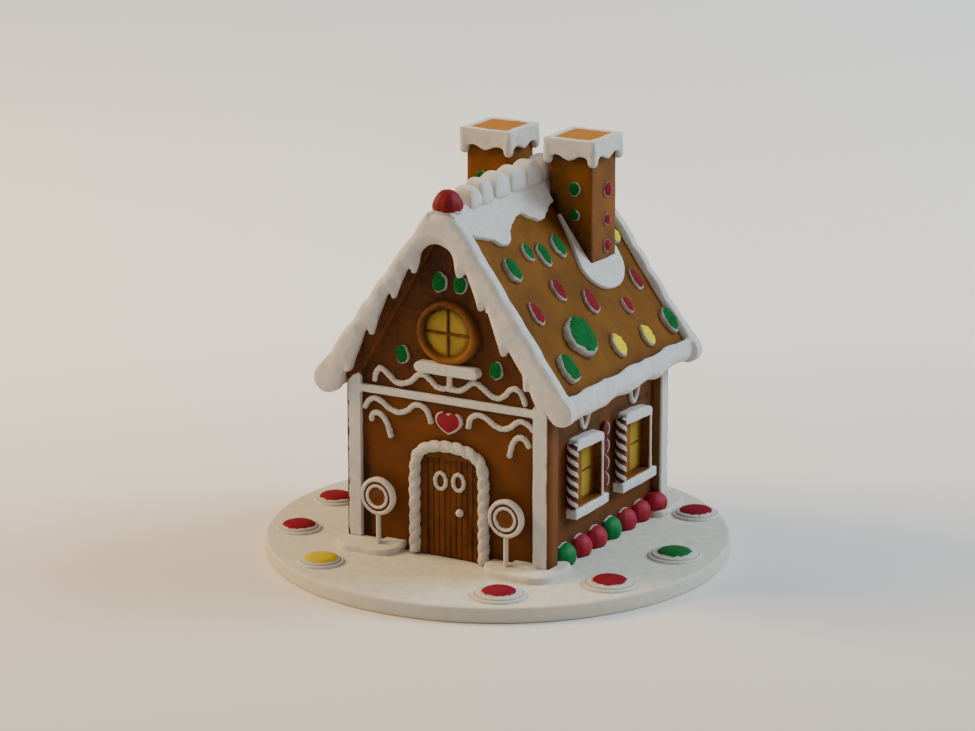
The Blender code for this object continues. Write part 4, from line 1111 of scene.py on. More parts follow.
    # painted shadow on the arm in front of the stack, and painted shade along the front of its
    # rounded lower edge
    def rim(point):
        run = (ROOF_APEX - point.z) / ROOF_SIN
        away = math.hypot((run / MM - APRON_RUN) / APRON_LONG,
                          (point.y / MM - APRON_Y) / APRON_WIDE)
        lower_left = step_between(36 * MM - point.y, 0, 8 * MM)
        arm = 0.95 * step_between(45 * MM - run, 0, 8 * MM)
        arm *= step_between(31 * MM - point.y, 0, 2 * MM)
        return max(arm, 0.55 * step_between(away, 0.93, 1.02) * lower_left)

    finish_piece(f"chimney_apron_{name}", soft, ICING, "icing", f"chimney_collar_{name}",
                 masks={"wash_and_shade": rim})


make_chimney("right", 1)
make_chimney("left", -1)


# ---------------------------------------------------------------- icing on the gable walls
# Flat strips of icing up both corners, a beam between them, and a thick sill hung on a stem.
# Wavy lines and small hooks are piped above and below the beam.

PIPING = cast_material("piped_icing", (0.53, 0.50, 0.46), (0.24, 0.19, 0.145),
                       speck=(0.24, 0.17, 0.11), mottle=0.22, size=140, specks=0.22,
                       roughness=0.8, relief=0.16)


WAVE_ABOVE = ((-35.4, 79.9), (-34.8, 83.0), (-32.6, 85.4), (-28.8, 83.0), (-25.4, 80.4),
              (-22.6, 79.9), (-18, 81.4), (-14.6, 84.6), (-11.5, 85.3), (-8.4, 83.6),
              (-5.6, 81.2), (-2.9, 80.4),
              (1.0, 81.0), (4.9, 80.6), (8.2, 82.0), (11, 84.4), (13.5, 85.1), (17, 83.4),
              (20.8, 80.8), (24.4, 80.1), (27.6, 82.0), (30, 84.6), (32.5, 85.3), (34.8, 84.0),
              (36.4, 81.2), (36.9, 79.4))
WAVE_LEFT = ((-40.4, 67.4), (-38.6, 70.2), (-35.6, 71.7), (-32, 70.6), (-28, 68.0), (-23.4, 67.1),
             (-19.6, 68.6), (-16.6, 71.2), (-13.6, 71.8), (-10.6, 70.4), (-8.9, 67.6), (-8.2, 65.2))
WAVE_RIGHT = ((10, 65.8), (10.8, 69.2), (13.2, 71.2), (15.9, 71.5), (19.4, 70.2), (23, 67.9),
              (26.8, 67.2), (30.2, 68.6), (33, 71.0), (35.6, 71.7), (38.6, 70.6), (40.8, 68.7))
HOOK_LEFT = ((-37.2, 62.3), (-36.9, 64.2), (-34.9, 65.5), (-32.0, 64.6), (-29.6, 61.6),
             (-28.4, 58.4), (-27.8, 56.3))
HOOK_RIGHT = ((38.6, 61.6), (37.6, 63.6), (35.0, 64.9), (32.6, 63.8), (30.8, 60.8), (30.0, 58.2),
              (29.7, 56.3))


PIPING_STEP = 0.4 * MM
LINE_RADIUS = 1.22 * MM
TRIM_FOOT = 10.0 * MM
BEAM = ((-42, 74.0), (42, 74.3), (42, 77.6), (-42, 77.3))
SILL_STEM = ((-0.1, 80), (2.1, 80), (2.0, 88), (0, 88))


def piped_roll_tree():
    """Sweeps a round roll along flat lines: twisted strands, rounded ends, uneven skin."""
    tree, given = new_tree("piped_roll", (
        ("Radius", "Float", MM), ("Height", "Float", 1.0), ("Sides", "Int", 12),
        ("Step", "Float", PIPING_STEP), ("Strand Depth", "Float", 0.0),
        ("Strand Power", "Float", 1.0), ("Pitch", "Float", 10 * MM), ("Start Turn", "Float", 0.0),
        ("End Length", "Float", MM), ("End Size", "Float", 0.02), ("Swell", "Float", 0.0),
        ("Swell Size", "Float", 1.6 * MM), ("Seed", "Float", 1.0)))
    link = tree.links.new
    wanted = given.outputs
    sum_of = functools.partial(maths, tree, "ADD")
    less = functools.partial(maths, tree, "SUBTRACT")
    product = functools.partial(maths, tree, "MULTIPLY")

    def vector(operation, *values, out="Vector", **named):
        made = new_node(tree, "ShaderNodeVectorMath", operation=operation)
        return feed(tree, made, out, *values, **named)

    def noted(geometry, kind, value):
        made = new_node(tree, "GeometryNodeCaptureAttribute")
        made.capture_items.new(kind, "value")
        link(geometry, made.inputs["Geometry"])
        link(value, made.inputs[1])
        return made.outputs["Geometry"], made.outputs[1]

    line = new_node(tree, "GeometryNodeMeshToCurve")
    link(given.outputs["Geometry"], line.inputs["Mesh"])
    even = new_node(tree, "GeometryNodeResampleCurve")
    even.mode = "LENGTH"
    link(line.outputs["Curve"], even.inputs["Curve"])
    link(given.outputs["Step"], even.inputs["Length"])
    curve, centre = noted(even.outputs["Curve"], "VECTOR",
                          new_node(tree, "GeometryNodeInputPosition").outputs["Position"])
    curve, ahead = noted(curve, "VECTOR",
                         new_node(tree, "GeometryNodeInputTangent").outputs["Tangent"])
    along = new_node(tree, "GeometryNodeSplineParameter")
    curve, walked = noted(curve, "FLOAT", along.outputs["Length"])
    whole = new_node(tree, "GeometryNodeSplineLength")
    curve, full = noted(curve, "FLOAT", whole.outputs["Length"])
    upright = new_node(tree, "GeometryNodeSetCurveNormal")
    upright.mode = "Z_UP"
    link(curve, upright.inputs["Curve"])
    circle = new_node(tree, "GeometryNodeCurvePrimitiveCircle")
    link(given.outputs["Sides"], circle.inputs["Resolution"])
    link(given.outputs["Radius"], circle.inputs["Radius"])
    sweep = new_node(tree, "GeometryNodeCurveToMesh")
    sweep.inputs["Fill Caps"].default_value = True
    link(upright.outputs["Curve"], sweep.inputs["Curve"])
    link(circle.outputs["Curve"], sweep.inputs["Profile Curve"])

    place = new_node(tree, "GeometryNodeInputPosition").outputs["Position"]
    spoke = vector("SUBTRACT", place, centre)
    across = vector("CROSS_PRODUCT", (0, 0, 1), ahead)
    turn = maths(tree, "ARCTAN2", vector("DOT_PRODUCT", spoke, (0, 0, 1), out="Value"),
                 vector("DOT_PRODUCT", spoke, across, out="Value"))
    twist = sum_of(product(maths(tree, "DIVIDE", walked, wanted["Pitch"]), 2 * math.pi),
                   wanted["Start Turn"])
    bulge = maths(tree, "ABSOLUTE", maths(tree, "COSINE", sum_of(turn, twist)))
    strand = maths(tree, "POWER", bulge, wanted["Strand Power"])
    strands = sum_of(less(1.0, wanted["Strand Depth"]), product(wanted["Strand Depth"], strand))
    to_end = maths(tree, "MINIMUM", walked, less(full, walked))
    inward = less(1.0, maths(tree, "DIVIDE", to_end, wanted["End Length"], clamp=True))
    rounding = maths(tree, "SQRT", less(1.0, product(inward, inward)))
    ends = sum_of(wanted["End Size"], product(rounding, less(1.0, wanted["End Size"])))
    uneven = feed(tree, new_node(tree, "ShaderNodeTexNoise", noise_dimensions="4D"), "Fac",
                  Vector=place, W=wanted["Seed"], Detail=0,
                  Scale=maths(tree, "DIVIDE", 1.0, wanted["Swell Size"]))
    swell = sum_of(1.0, product(wanted["Swell"], less(product(uneven, 2.0), 1.0)))
    size = product(product(strands, ends), swell)
    flat = feed(tree, new_node(tree, "ShaderNodeCombineXYZ"), "Vector", 1, 1, wanted["Height"])
    grown = vector("MULTIPLY", vector("SCALE", spoke, Scale=size), flat)
    settled = new_node(tree, "GeometryNodeSetPosition")
    link(sweep.outputs["Mesh"], settled.inputs["Geometry"])
    link(vector("ADD", centre, grown), settled.inputs["Position"])
    end_tree(tree, given, settled.outputs["Geometry"])
    return tree


PIPED_ROLL = piped_roll_tree()


def pipe(lines, radius, material, place, reach=0.0, **sizes):
    """Pipe a roll along lines of (u, v) points, made longer by reach, and set it in place."""
    points, edges = [], []
    for line in lines:
        line = [Vector(point) for point in line]
        line[0] += (line[0] - line[1]).normalized() * reach
        line[-1] += (line[-1] - line[-2]).normalized() * reach
        first = len(points)
        points += [(point.x, point.y, 0) for point in line]
        edges += [(first + i, first + i + 1) for i in range(len(line) - 1)]
    bare = bpy.data.meshes.new("lines")
    bare.from_pydata(points, edges, [])
    bm = shape(PIPED_ROLL, bare, material, radius=radius, **sizes)
    for vert in bm.verts:
        vert.co = place(*vert.co)
    return bm


def make_wall_icing(end):
    front = end == "front"
    face_y = FRONT_WALL if front else REAR_WALL
    out = -1 if front else 1
    place = facing(face_y, out)
    bm = bmesh.new()
    for side in (1, -1):
        outer, inner = SLAB_X - 0.85 * MM, SLAB_X - (7.6 if side > 0 else 6.8) * MM
        edge = []
        for i in range(56):
            z = TRIM_FOOT + 68.2 * MM * i / 55
            ragged = 0.34 * MM * wander(Vector((side, z, out)), 1.9 * MM, 41)
            ragged += 0.25 * MM * wander(Vector((side, z, out)), 6 * MM, 42)
            edge.append((side * (outer + min(0.3 * MM, ragged)), z))
        high = 79.4 * MM if side > 0 else 82.6 * MM
        top = [(side * 45.6 * MM, high - 1.7 * MM), (side * inner, high),
               (side * inner, TRIM_FOOT)]
        add_block(bm, edge + top, -1.2 * MM, 2.1 * MM, place)
        if not front:
            inside, outside = SLAB_X - MM, SLAB_X + 0.3 * MM
            far_side = [(side * inside, face_y + 0.4 * MM), (side * inside, 57.9 * MM),
                        (side * outside, 57.9 * MM), (side * outside, face_y - 1.2 * MM)]
            add_block(bm, far_side, TRIM_FOOT, 84 * MM, lambda u, v, w: Vector((u, v, w)))
    add_block(bm, [(x * MM, z * MM) for x, z in BEAM], -1 * MM, 1.9 * MM, place)
    sill = arc((14.0 * MM, 89.5 * MM), 2.3 * MM, -90, 90, 6)
    sill += arc((-12.0 * MM, 89.5 * MM), 2.3 * MM, 90, 270, 6)
    add_block(bm, sill, -1 * MM, 4.5 * MM, place)
    add_block(bm, [(x * MM, z * MM) for x, z in SILL_STEM], -1 * MM, 1.5 * MM, place)
    soft = melt(f"icing_trim_{end}", bm, 0.42 * MM, 3, lumps=0.12 * MM, lump_size=9 * MM,
                grain=0.05 * MM, grain_size=1.6 * MM)
    finish_piece(f"icing_trim_{end}", soft, ICING, "icing", f"icing_{end}",
                 masks=patchy(0.10, 8 * MM, 43))

    normal = Vector((0, out, 0))
    lines = [flowing([(x * MM, z * MM) for x, z in line], 5)
             for line in (WAVE_ABOVE, WAVE_LEFT, WAVE_RIGHT, HOOK_LEFT, HOOK_RIGHT)]
    piped = pipe(lines, LINE_RADIUS, PIPING, facing(face_y + out * 0.4 * MM, out),
                 reach=LINE_RADIUS, end_length=LINE_RADIUS, height=1.15, swell=0.10)
    foot = [Vector((1.0 * MM, face_y + out * 0.3 * MM, z * MM)) for z in (86.4, 84.6, 82.8, 81.2)]
    add_roll(piped, foot, lambda t: (0.9 + 1.0 * t * t) * MM, normal)
    soft = melt(f"icing_lines_{end}", piped, 0.36 * MM, 2, grain=0.30 * MM, grain_size=0.75 * MM)
    finish_piece(f"icing_lines_{end}", soft, PIPING, "icing")


make_wall_icing("front")
make_wall_icing("rear")


# ---------------------------------------------------------------- round windows
# A thick ring of biscuit, rounded and painted orange-brown, round a sunk yellow pane that
# is crossed by two thin bars. Each gable has one.

RING_PAINT = cast_material("window_ring_brown", (0.242, 0.094, 0.0175), (0.050, 0.012, 0.0015),
                           speck=(0.30, 0.12, 0.02), wash_and_shade="wash_and_shade", mottle=0.28, size=80,
                           specks=0.1, roughness=0.6, relief=0.08)
PANE_PAINT = cast_material("yellow_pane", (0.34, 0.235, 0.030), (0.13, 0.072, 0.006),
                           speck=(0.42, 0.33, 0.06), mottle=0.3, size=110, specks=0.1,
                           roughness=0.55, relief=0.05)
RING_CENTRE = Vector((0.4 * MM, 0, 104.8 * MM))
RING_PROFILE = ((10.2, 0.3), (10.5, 1.6), (11.2, 2.8), (12.2, 3.4), (13.1, 3.2), (13.9, 2.4),
                (14.3, 1.2), (14.4, 0.2), (14.4, -0.8), (10.2, -0.8))


def make_round_window(end):
    front = end == "front"
    face_y = FRONT_WALL if front else REAR_WALL
    out = -1 if front else 1
    bm = bmesh.new()
    steps = 72
    rings = []
    for i in range(steps):
        turn = 2 * math.pi * i / steps
        ring = []
        for radius, height in RING_PROFILE:
            spot = Vector((1.02 * math.cos(turn), 0, 0.96 * math.sin(turn))) * radius * MM
            uneven = 1 + 0.018 * wander(spot, 6 * MM, 50)
            ring.append(RING_CENTRE + spot * uneven + Vector((0, face_y + out * height * MM, 0)))
        rings.append(ring)
    join_rings(bm, rings, endless=True)

    for direction in (Vector((1, 0, 0)), Vector((0, 0, 1))):
        centre = RING_CENTRE + Vector((0.2 * MM, face_y + out * 1.0 * MM, -0.2 * MM))
        path = [centre + direction * (10.2 * MM * (k / 5 - 1)) for k in range(11)]
        add_roll(bm, path, 0.62 * MM, Vector((0, out, 0)), flat=1.3, sides=8, swell=0.12)

    def shadow(point):
        away = point - RING_CENTRE
        away.y = 0
        radius = away.length
        up = away.normalized().dot(Vector((-0.35, 0, 0.94)))
        inside = 1 - step_between(radius, 10.6 * MM, 12.0 * MM)
        rim = step_between(radius, 13.4 * MM, 14.2 * MM) * 0.4
        return min(1, 0.30 + 0.45 * up + 0.55 * inside + rim) if radius > 9.6 * MM else 0.6

    finish_piece(f"round_ring_{end}", bm, RING_PAINT, "window_ring", f"round_window_{end}",
                 masks={"wash_and_shade": lambda point: max(0, shadow(point))})
    pane = bmesh.new()
    rings = []
    for radius in (10.5, 7, 4, 0.05):
        rings.append([RING_CENTRE + Vector((radius * MM * math.cos(a), face_y + out * 0.9 * MM,
                                            radius * MM * math.sin(a)))
                      for a in (2 * math.pi * k / 48 for k in range(48))])
    behind = [[point - Vector((0, out * 1.1 * MM, 0)) for point in rings[0]]]
    join_rings(pane, behind + rings)
    finish_piece(f"round_pane_{end}", pane, PANE_PAINT, "yellow")


make_round_window("front")
make_round_window("rear")


# ---------------------------------------------------------------- heart
# Small raised heart over the door, cast with the wall: red paint on a low dome, with a
# pale edge of icing round it.

HEART_PAINT = cast_material("red_heart", (0.48, 0.43, 0.40), (0.20, 0.05, 0.05),
                            tops=(0.205, 0.0065, 0.0170), mask="paint", mottle=0.15, size=120,
                            specks=0.0, roughness=0.6, relief=0.08)
HEART_CENTRE = Vector((0.8 * MM, FRONT_WALL, 66.6 * MM))
HEART_WIDE, HEART_HIGH = 6.5 * MM, 5.5 * MM
HEART_LEVELS = ((1.0, -0.6), (1.0, 1.0), (0.97, 1.5), (0.90, 1.8), (0.84, 1.75), (0.80, 1.7),
                (0.6, 1.95), (0.3, 2.1), (0.002, 2.1))


def heart_edge(turn):
    """Outline of the heart round its middle: a shallow dip on top and a point below."""
    x, z = math.sin(turn), math.cos(turn)
    if z > 0:
        width = math.copysign(abs(x) ** 0.55, x)
        return width * HEART_WIDE, (z ** 0.7 * 4.1 - 0.5 * math.exp(-(width / 0.34) ** 2)) * MM
    return x * (1 - 0.16 * abs(z)) * HEART_WIDE, (0.72 * z - 0.28 * (1 - abs(x))) * HEART_HIGH


def make_heart():
    bm = bmesh.new()
    steps = 72
    rings = []
    for scale, height in HEART_LEVELS:
        ring = []
        for i in range(steps):
            x, z = heart_edge(2 * math.pi * i / steps)
            spot = Vector((x * scale, 0, z * scale))
            ring.append(HEART_CENTRE + spot * (1 + 0.02 * wander(spot, 1.5 * MM, 52))
                        + Vector((0, -height * MM, 0)))
        rings.append(ring)
    join_rings(bm, rings)

    def red_part(point):
        away = point - HEART_CENTRE
        turn = math.atan2(away.x / 6.5, away.z / 5.4)
        x, z = heart_edge(turn)
        return 1 - step_between(math.hypot(away.x, away.z) / math.hypot(x, z), 0.76, 0.92)

    finish_piece("red_heart", bm, HEART_PAINT, "red", "heart", masks={"paint": red_part})


make_heart()


# ---------------------------------------------------------------- door
# Plank door in a thick twisted cord of icing, with two small wreaths and a round knob.
# The planks are cut with narrow grooves and stained unevenly, with painted shade at the sides and
# top.

DOOR_PAINT = cast_material("door_brown", (0.190, 0.058, 0.0050), (0.024, 0.0055, 0.0008),
                           speck=(0.25, 0.105, 0.015), wash_and_shade="wash_and_shade", mottle=0.35, size=55,
                           specks=0.1, roughness=0.55, relief=0.08)
DOOR_X = 1.2 * MM
PLANKS_FROM, PLANKS_TO = -9.4 * MM, 12.4 * MM
PLANK_COUNT = 8
PLANK_TOP = 50.2 * MM
CORD_RADIUS = 2.6 * MM
WREATHS = ((-3.0 * MM, 40.5 * MM), (5.7 * MM, 41.0 * MM))
WREATH_X, WREATH_Z = 2.6 * MM, 3.5 * MM
KNOB_PLACE = (6.6 * MM, 28.0 * MM)


def door_top(x):
    """Height of the doorway at x: an arch with round shoulders."""
    away = abs(x - DOOR_X)
    shoulder = max(0.0, away - 7.0 * MM) / (7.2 * MM)
    drop = 5.5 * MM * (1 - math.sqrt(max(0, 1 - shoulder ** 2)))
    return (53.4 - 0.012 * (away / MM) ** 2) * MM - drop


def plank_groove(x):
    """Distance from x to the nearest groove between planks."""
    width = (PLANKS_TO - PLANKS_FROM) / PLANK_COUNT
    return abs((x - PLANKS_FROM) / width - round((x - PLANKS_FROM) / width)) * width


def make_door():
    bm = bmesh.new()
    low = PLATE_TOP + 0.3 * MM

    def point(u, v):
        x = DOOR_X + 14.6 * MM * (2 * u - 1)
        z = low + (door_top(x) - low) * v
        depth = 0.9 * MM
        if PLANKS_FROM - 0.3 * MM < x < PLANKS_TO + 0.3 * MM and z < PLANK_TOP:
            depth -= 0.32 * MM * (1 - step_between(plank_groove(x), 0.08 * MM, 0.34 * MM))
        elif z < PLANK_TOP:
            depth += 0.45 * MM
        else:
            depth += 0.7 * MM
        depth += 0.08 * MM * wander(Vector((x * 5, 0, z)), 12 * MM, 55)
        return Vector((x, FRONT_WALL - depth, z))

    add_panel(bm, 170, 60, point, lambda place: Vector((place.x, FRONT_WALL + 0.2 * MM, place.z)))

    # grain and dark joints are the planks' own colour; the darker sides and top of the sunk plank
    # field are painted shade
    def stain_and_shade(place):
        x, z = place.x, place.z
        if z > PLANK_TOP:
            return 0.15 + 0.3 * max(0, wander(place, 5 * MM, 57))
        groove = 1 - step_between(plank_groove(x), 0.12 * MM, 0.5 * MM)
        edge = math.exp(-min(abs(x - PLANKS_FROM), abs(x - PLANKS_TO)) / (1.6 * MM))
        grain = 0.5 + 0.5 * wander(Vector((x * 9, 0, z)), 14 * MM, 56)
        top = math.exp(-abs(z - PLANK_TOP) / (4 * MM))
        return min(1.0, 0.28 * groove + 0.35 * edge + 0.50 * grain + 0.25 * top)

    finish_piece("plank_door", bm, DOOR_PAINT, "door", "door", masks={"wash_and_shade": stain_and_shade})

    foot = PLATE_TOP + 0.2 * MM
    right = [(17.0, 0.7), (17.0, 12), (17.0, 24), (16.9, 36), (16.0, 42.6), (13.3, 46.1),
             (8.2, 48.3)]
    line = right + [(0.2, 49.1)] + [(0.6 - x, z) for x, z in reversed(right)]
    path = flowing([(DOOR_X + x * MM, foot + z * MM) for x, z in line], 12)
    arch = pipe([path], CORD_RADIUS, PIPING, facing(FRONT_WALL - 2.2 * MM, -1), step=0.35 * MM,
                sides=24, strand_depth=0.26, strand_power=0.7, pitch=-5.0 * MM / 0.45,
                end_size=1.0, swell=0.05, swell_size=2.2 * MM)
    soft = melt("door_cord", arch, 0.4 * MM, 1, grain=0.20 * MM, grain_size=0.9 * MM)
    finish_piece("door_cord", soft, PIPING, "icing", "door_arch")

    wreaths = bmesh.new()
    for centre_x, centre_z in WREATHS:
        steps = 40
        rings = []
        for i in range(steps):
            turn = 2 * math.pi * i / steps
            middle = Vector((centre_x + WREATH_X * math.cos(turn), FRONT_WALL - 1.5 * MM,
                             centre_z + WREATH_Z * math.sin(turn)))
            outward = Vector((math.cos(turn), 0, math.sin(turn)))
            size = 0.88 * MM * (1 + 0.12 * math.sin(turn * 9) + 0.1 * wander(middle, 1 * MM, 59))
            rings.append([middle + outward * size * math.cos(a) + Vector((0, size * math.sin(a), 0))
                          for a in (2 * math.pi * k / 10 for k in range(10))])
        join_rings(wreaths, rings, endless=True)
    knob = [Vector((KNOB_PLACE[0], FRONT_WALL - (0.3 + 0.45 * k) * MM, KNOB_PLACE[1]))
            for k in range(5)]
    add_roll(wreaths, knob, lambda t: (1.1 + 0.7 * t) * MM, Vector((0, 0, 1)), sides=14)
    finish_piece("door_wreaths_and_knob", wreaths, PIPING, "icing")


make_door()


# ---------------------------------------------------------------- lollipops
# Round flat lollipops of biscuit with two rings of icing, each on a thin white stick
# that stands in the snow beside the door.

POP_PAINT = cast_material("lollipop", (0.57, 0.545, 0.51), (0.20, 0.13, 0.08),
                          speck=(0.22, 0.15, 0.10), tops=(0.105, 0.030, 0.0040), mask="paint",
                          mottle=0.2, size=120, specks=0.15, roughness=0.75, relief=0.12)


LOLLIPOP_REACH = 8.8 * MM
STICK_RADIUS = 1.05 * MM
LOLLIPOP_PROFILE = ((0.02, 1.1), (2.8, 1.15), (4.0, 1.0), (4.25, 1.45), (4.8, 1.75), (5.3, 1.5),
                    (5.55, 0.8), (6.35, 0.8), (6.6, 1.45), (7.2, 1.8), (7.75, 1.5), (8.2, 0.8),
                    (8.3, 0), (8.2, -0.9), (8.0, -1.5), (4, -1.55), (0.02, -1.55))


def make_lollipop(name):
    low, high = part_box(f"lollipop_{name}")
    centre = Vector(((low.x + high.x) / 2, (low.y + high.y) / 2, high.z - LOLLIPOP_REACH))
    bm = bmesh.new()
    steps = 64
    rings = []
    for radius, height in LOLLIPOP_PROFILE:
        ring = []
        for i in range(steps):
            turn = 2 * math.pi * i / steps
            spot = Vector((math.cos(turn), 0, math.sin(turn))) * radius * MM
            spot *= 1 + 0.02 * wander(spot + centre, 3 * MM, 60)
            lift = height + 0.10 * wander(spot + centre, 1.2 * MM, 61)
            ring.append(centre + spot + Vector((0, -lift * MM, 0)))
        rings.append(ring)
    join_rings(bm, rings)
    top = centre.z - 8.0 * MM
    stick = [Vector((centre.x, centre.y, z)) for z in
             (SNOW_TOP + 0.8 * MM + (top - SNOW_TOP - 0.8 * MM) * k / 6 for k in range(7))]
    add_roll(bm, stick, STICK_RADIUS, Vector((0, -1, 0)), sides=12, swell=0.05)

    def biscuit(point):
        away = point - centre
        radius = math.hypot(away.x, away.z) / MM
        if away.y > -0.6 * MM or radius > 6.8:
            return 0.0
        wobble = 0.12 * wander(point, 1.0 * MM, 62)
        centre_part = 1 - step_between(radius + wobble, 3.85, 4.25)
        groove = step_between(radius + wobble, 5.3, 5.55)
        return max(centre_part, groove * (1 - step_between(radius + wobble, 6.35, 6.6)))

    finish_piece(f"biscuit_lollipop_{name}", bm, POP_PAINT, "icing", f"lollipop_{name}",
                 masks={"paint": biscuit})


make_lollipop("right")
make_lollipop("left")


# ---------------------------------------------------------------- side windows
# Each side wall has two windows: a yellow pane with brown bars, set back in a brown box,
# under a thick lintel and over a deep sill of icing, with a twisted candy column on one side.

LINING_PAINT = cast_material("window_lining", (0.27, 0.090, 0.006), (0.022, 0.006, 0.0010),
                             speck=(0.27, 0.13, 0.02), wash_and_shade="wash_and_shade", mottle=0.3, size=80,
                             specks=0.1, roughness=0.6, relief=0.08)
COLUMN_PAINT = cast_material("candy_column", (0.055, 0.014, 0.008), (0.02, 0.006, 0.004),
                             speck=(0.22, 0.14, 0.10), tops=(0.50, 0.46, 0.42), mask="paint",
                             mottle=0.25, size=160, specks=0.15, roughness=0.7, relief=0.14)


CANDY_PITCH = 9.0 * MM
COLUMN_RADIUS = 2.5 * MM
COLUMN_FOOT, COLUMN_HEAD = 29.9 * MM, 58.6 * MM


LINTEL = ((-11.8, 54.9), (12.5, 53.9), (12.6, 56.6), (11.6, 57.7), (9.4, 58.5), (0, 59.3),
          (-9.8, 59.6), (-11.2, 59.0))
LINING_BARS = ((-2.4, 3.6, 11.0, 12.3, 28, 56), (-2.4, 4.0, -10.0, 12.2, 28.6, 30.3),
               (-2.4, 3.2, -11.6, -9.9, 29, 56), (-2.4, 3.2, -11.0, 12.0, 54.2, 56),
               (-2.4, -0.35, -9.9, 1.3, 30, 55), (-2.4, -0.35, 9.6, 11.2, 30, 55),
               (-2.4, -0.5, -9.9, 11.2, 41.6, 42.6))


def box_block(bm, x_range, y_range, z_range):
    (x_from, x_to), (y_from, y_to) = x_range, y_range
    add_block(bm, [(x_from, y_from), (x_to, y_from), (x_to, y_to), (x_from, y_to)],
              *z_range, lambda u, v, w: Vector((u, v, w)))


def make_side_window(name, number, side, middle):
    wall = WALL_X + 0.1 * MM

    def from_wall(near, far):
        return sorted((side * (wall + near * MM), side * (wall + far * MM)))

    def along(start, end):
        return middle + start * MM, middle + end * MM

    frame_bm = bmesh.new()
    add_block(frame_bm, [(middle + y * MM, z * MM) for y, z in LINTEL], -MM, 4.5 * MM,
              lambda u, v, w: Vector((side * (wall + w), u, v)))
    box_block(frame_bm, from_wall(-1, 5.0), along(-13.0 if number == 1 else -15.0, 16.3),
              (25.3 * MM, 29.7 * MM))
    box_block(frame_bm, from_wall(3.2, 4.4), along(11.1, 12.4), (29 * MM, 56 * MM))
    soft = melt(f"window_icing_{name}_{number}", frame_bm, 0.42 * MM, 5, lumps=0.3 * MM,
                lump_size=6 * MM, grain=0.05 * MM, grain_size=1.5 * MM)
    finish_piece(f"window_icing_{name}_{number}", soft, ICING, "icing",
                 f"window_frame_{name}_{number}",
                 masks=patchy(0.12, 5 * MM, 70))

    lining = bmesh.new()
    for near, far, start, end, low, high in LINING_BARS:
        box_block(lining, from_wall(near, far), along(start, end), (low * MM, high * MM))
    bmesh.ops.bevel(lining, geom=lining.edges[:], offset=0.18 * MM, segments=1, affect="EDGES")

    # painted shade on the rear side of each window box, a little less towards the top
    def lining_shade(point):
        rear = step_between(point.y - middle, 10.2 * MM, 11.1 * MM)
        upper = step_between(point.z, 31 * MM, 54 * MM)
        dark = 0.08 + (0.62 - 0.12 * upper) * rear + 0.15 * wander(point, 5 * MM, 71)
        return min(1, max(0, dark))

    finish_piece(f"window_lining_{name}_{number}", lining, LINING_PAINT, "wall",
                 masks={"wash_and_shade": lining_shade}, smooth=False)
    pane = bmesh.new()

    def pane_point(u, v):
        return Vector((side * (wall - 0.8 * MM), middle - 10 * MM + 21.5 * MM * u,
                       29.5 * MM + 26 * MM * v))

    add_panel(pane, 12, 12, pane_point, lambda place: place - Vector((side * 1.0 * MM, 0, 0)))
    finish_piece(f"window_pane_{name}_{number}", pane, PANE_PAINT, "yellow")

    centre = Vector((side * (wall + 2.6 * MM), middle - (12.6 if number == 1 else 13.2) * MM, 0))
    column = pipe([[(COLUMN_FOOT, 0), (COLUMN_HEAD, 0)]], COLUMN_RADIUS, COLUMN_PAINT,
                  lambda u, v, w: centre + Vector((v, w, u)), step=0.27 * MM, sides=32,
                  strand_depth=0.26, strand_power=1.2, pitch=CANDY_PITCH,
                  start_turn=2 * math.pi * COLUMN_FOOT / CANDY_PITCH, end_length=1.1 * MM,
                  end_size=0.55, swell=0.08, swell_size=0.8 * MM)

    def stripe(point):
        away = point - centre
        turn = math.atan2(away.y, away.x)
        return 0.44 + 0.62 * math.cos(2 * (turn + 2 * math.pi * point.z / CANDY_PITCH))

    finish_piece(f"candy_column_{name}_{number}", column, COLUMN_PAINT, "icing",
                 f"window_column_{name}_{number}", masks={"paint": stripe})


for side_name, side_sign in (("right", 1), ("left", -1)):
    for window_number, window_y in enumerate(WINDOW_MIDDLES, 1):
        make_side_window(side_name, window_number, side_sign, window_y)


# ---------------------------------------------------------------- candy strips and hooks
# Small toppings of the side walls: a strip of four candies between the windows, and a
# hook of icing over each window that hangs from under the eaves.

STRIP_PAINT = cast_material("candy_strip", (0.12, 0.018, 0.018), (0.05, 0.008, 0.008),
                            speck=(0.4, 0.22, 0.22), tops=(0.46, 0.34, 0.34), mask="paint",
                            mottle=0.3, size=160, specks=0.12, roughness=0.65, relief=0.12)
CANDY_LEVELS = (56.4 * MM, 48.8 * MM, 41.1 * MM, 33.7 * MM)
CANDY_Y = 11.6 * MM
CANDY_PROFILE = ((2.7, 0), (2.75, 1.2), (2.45, 1.75), (1.8, 1.6), (1.2, 1.9), (0.02, 2.0))


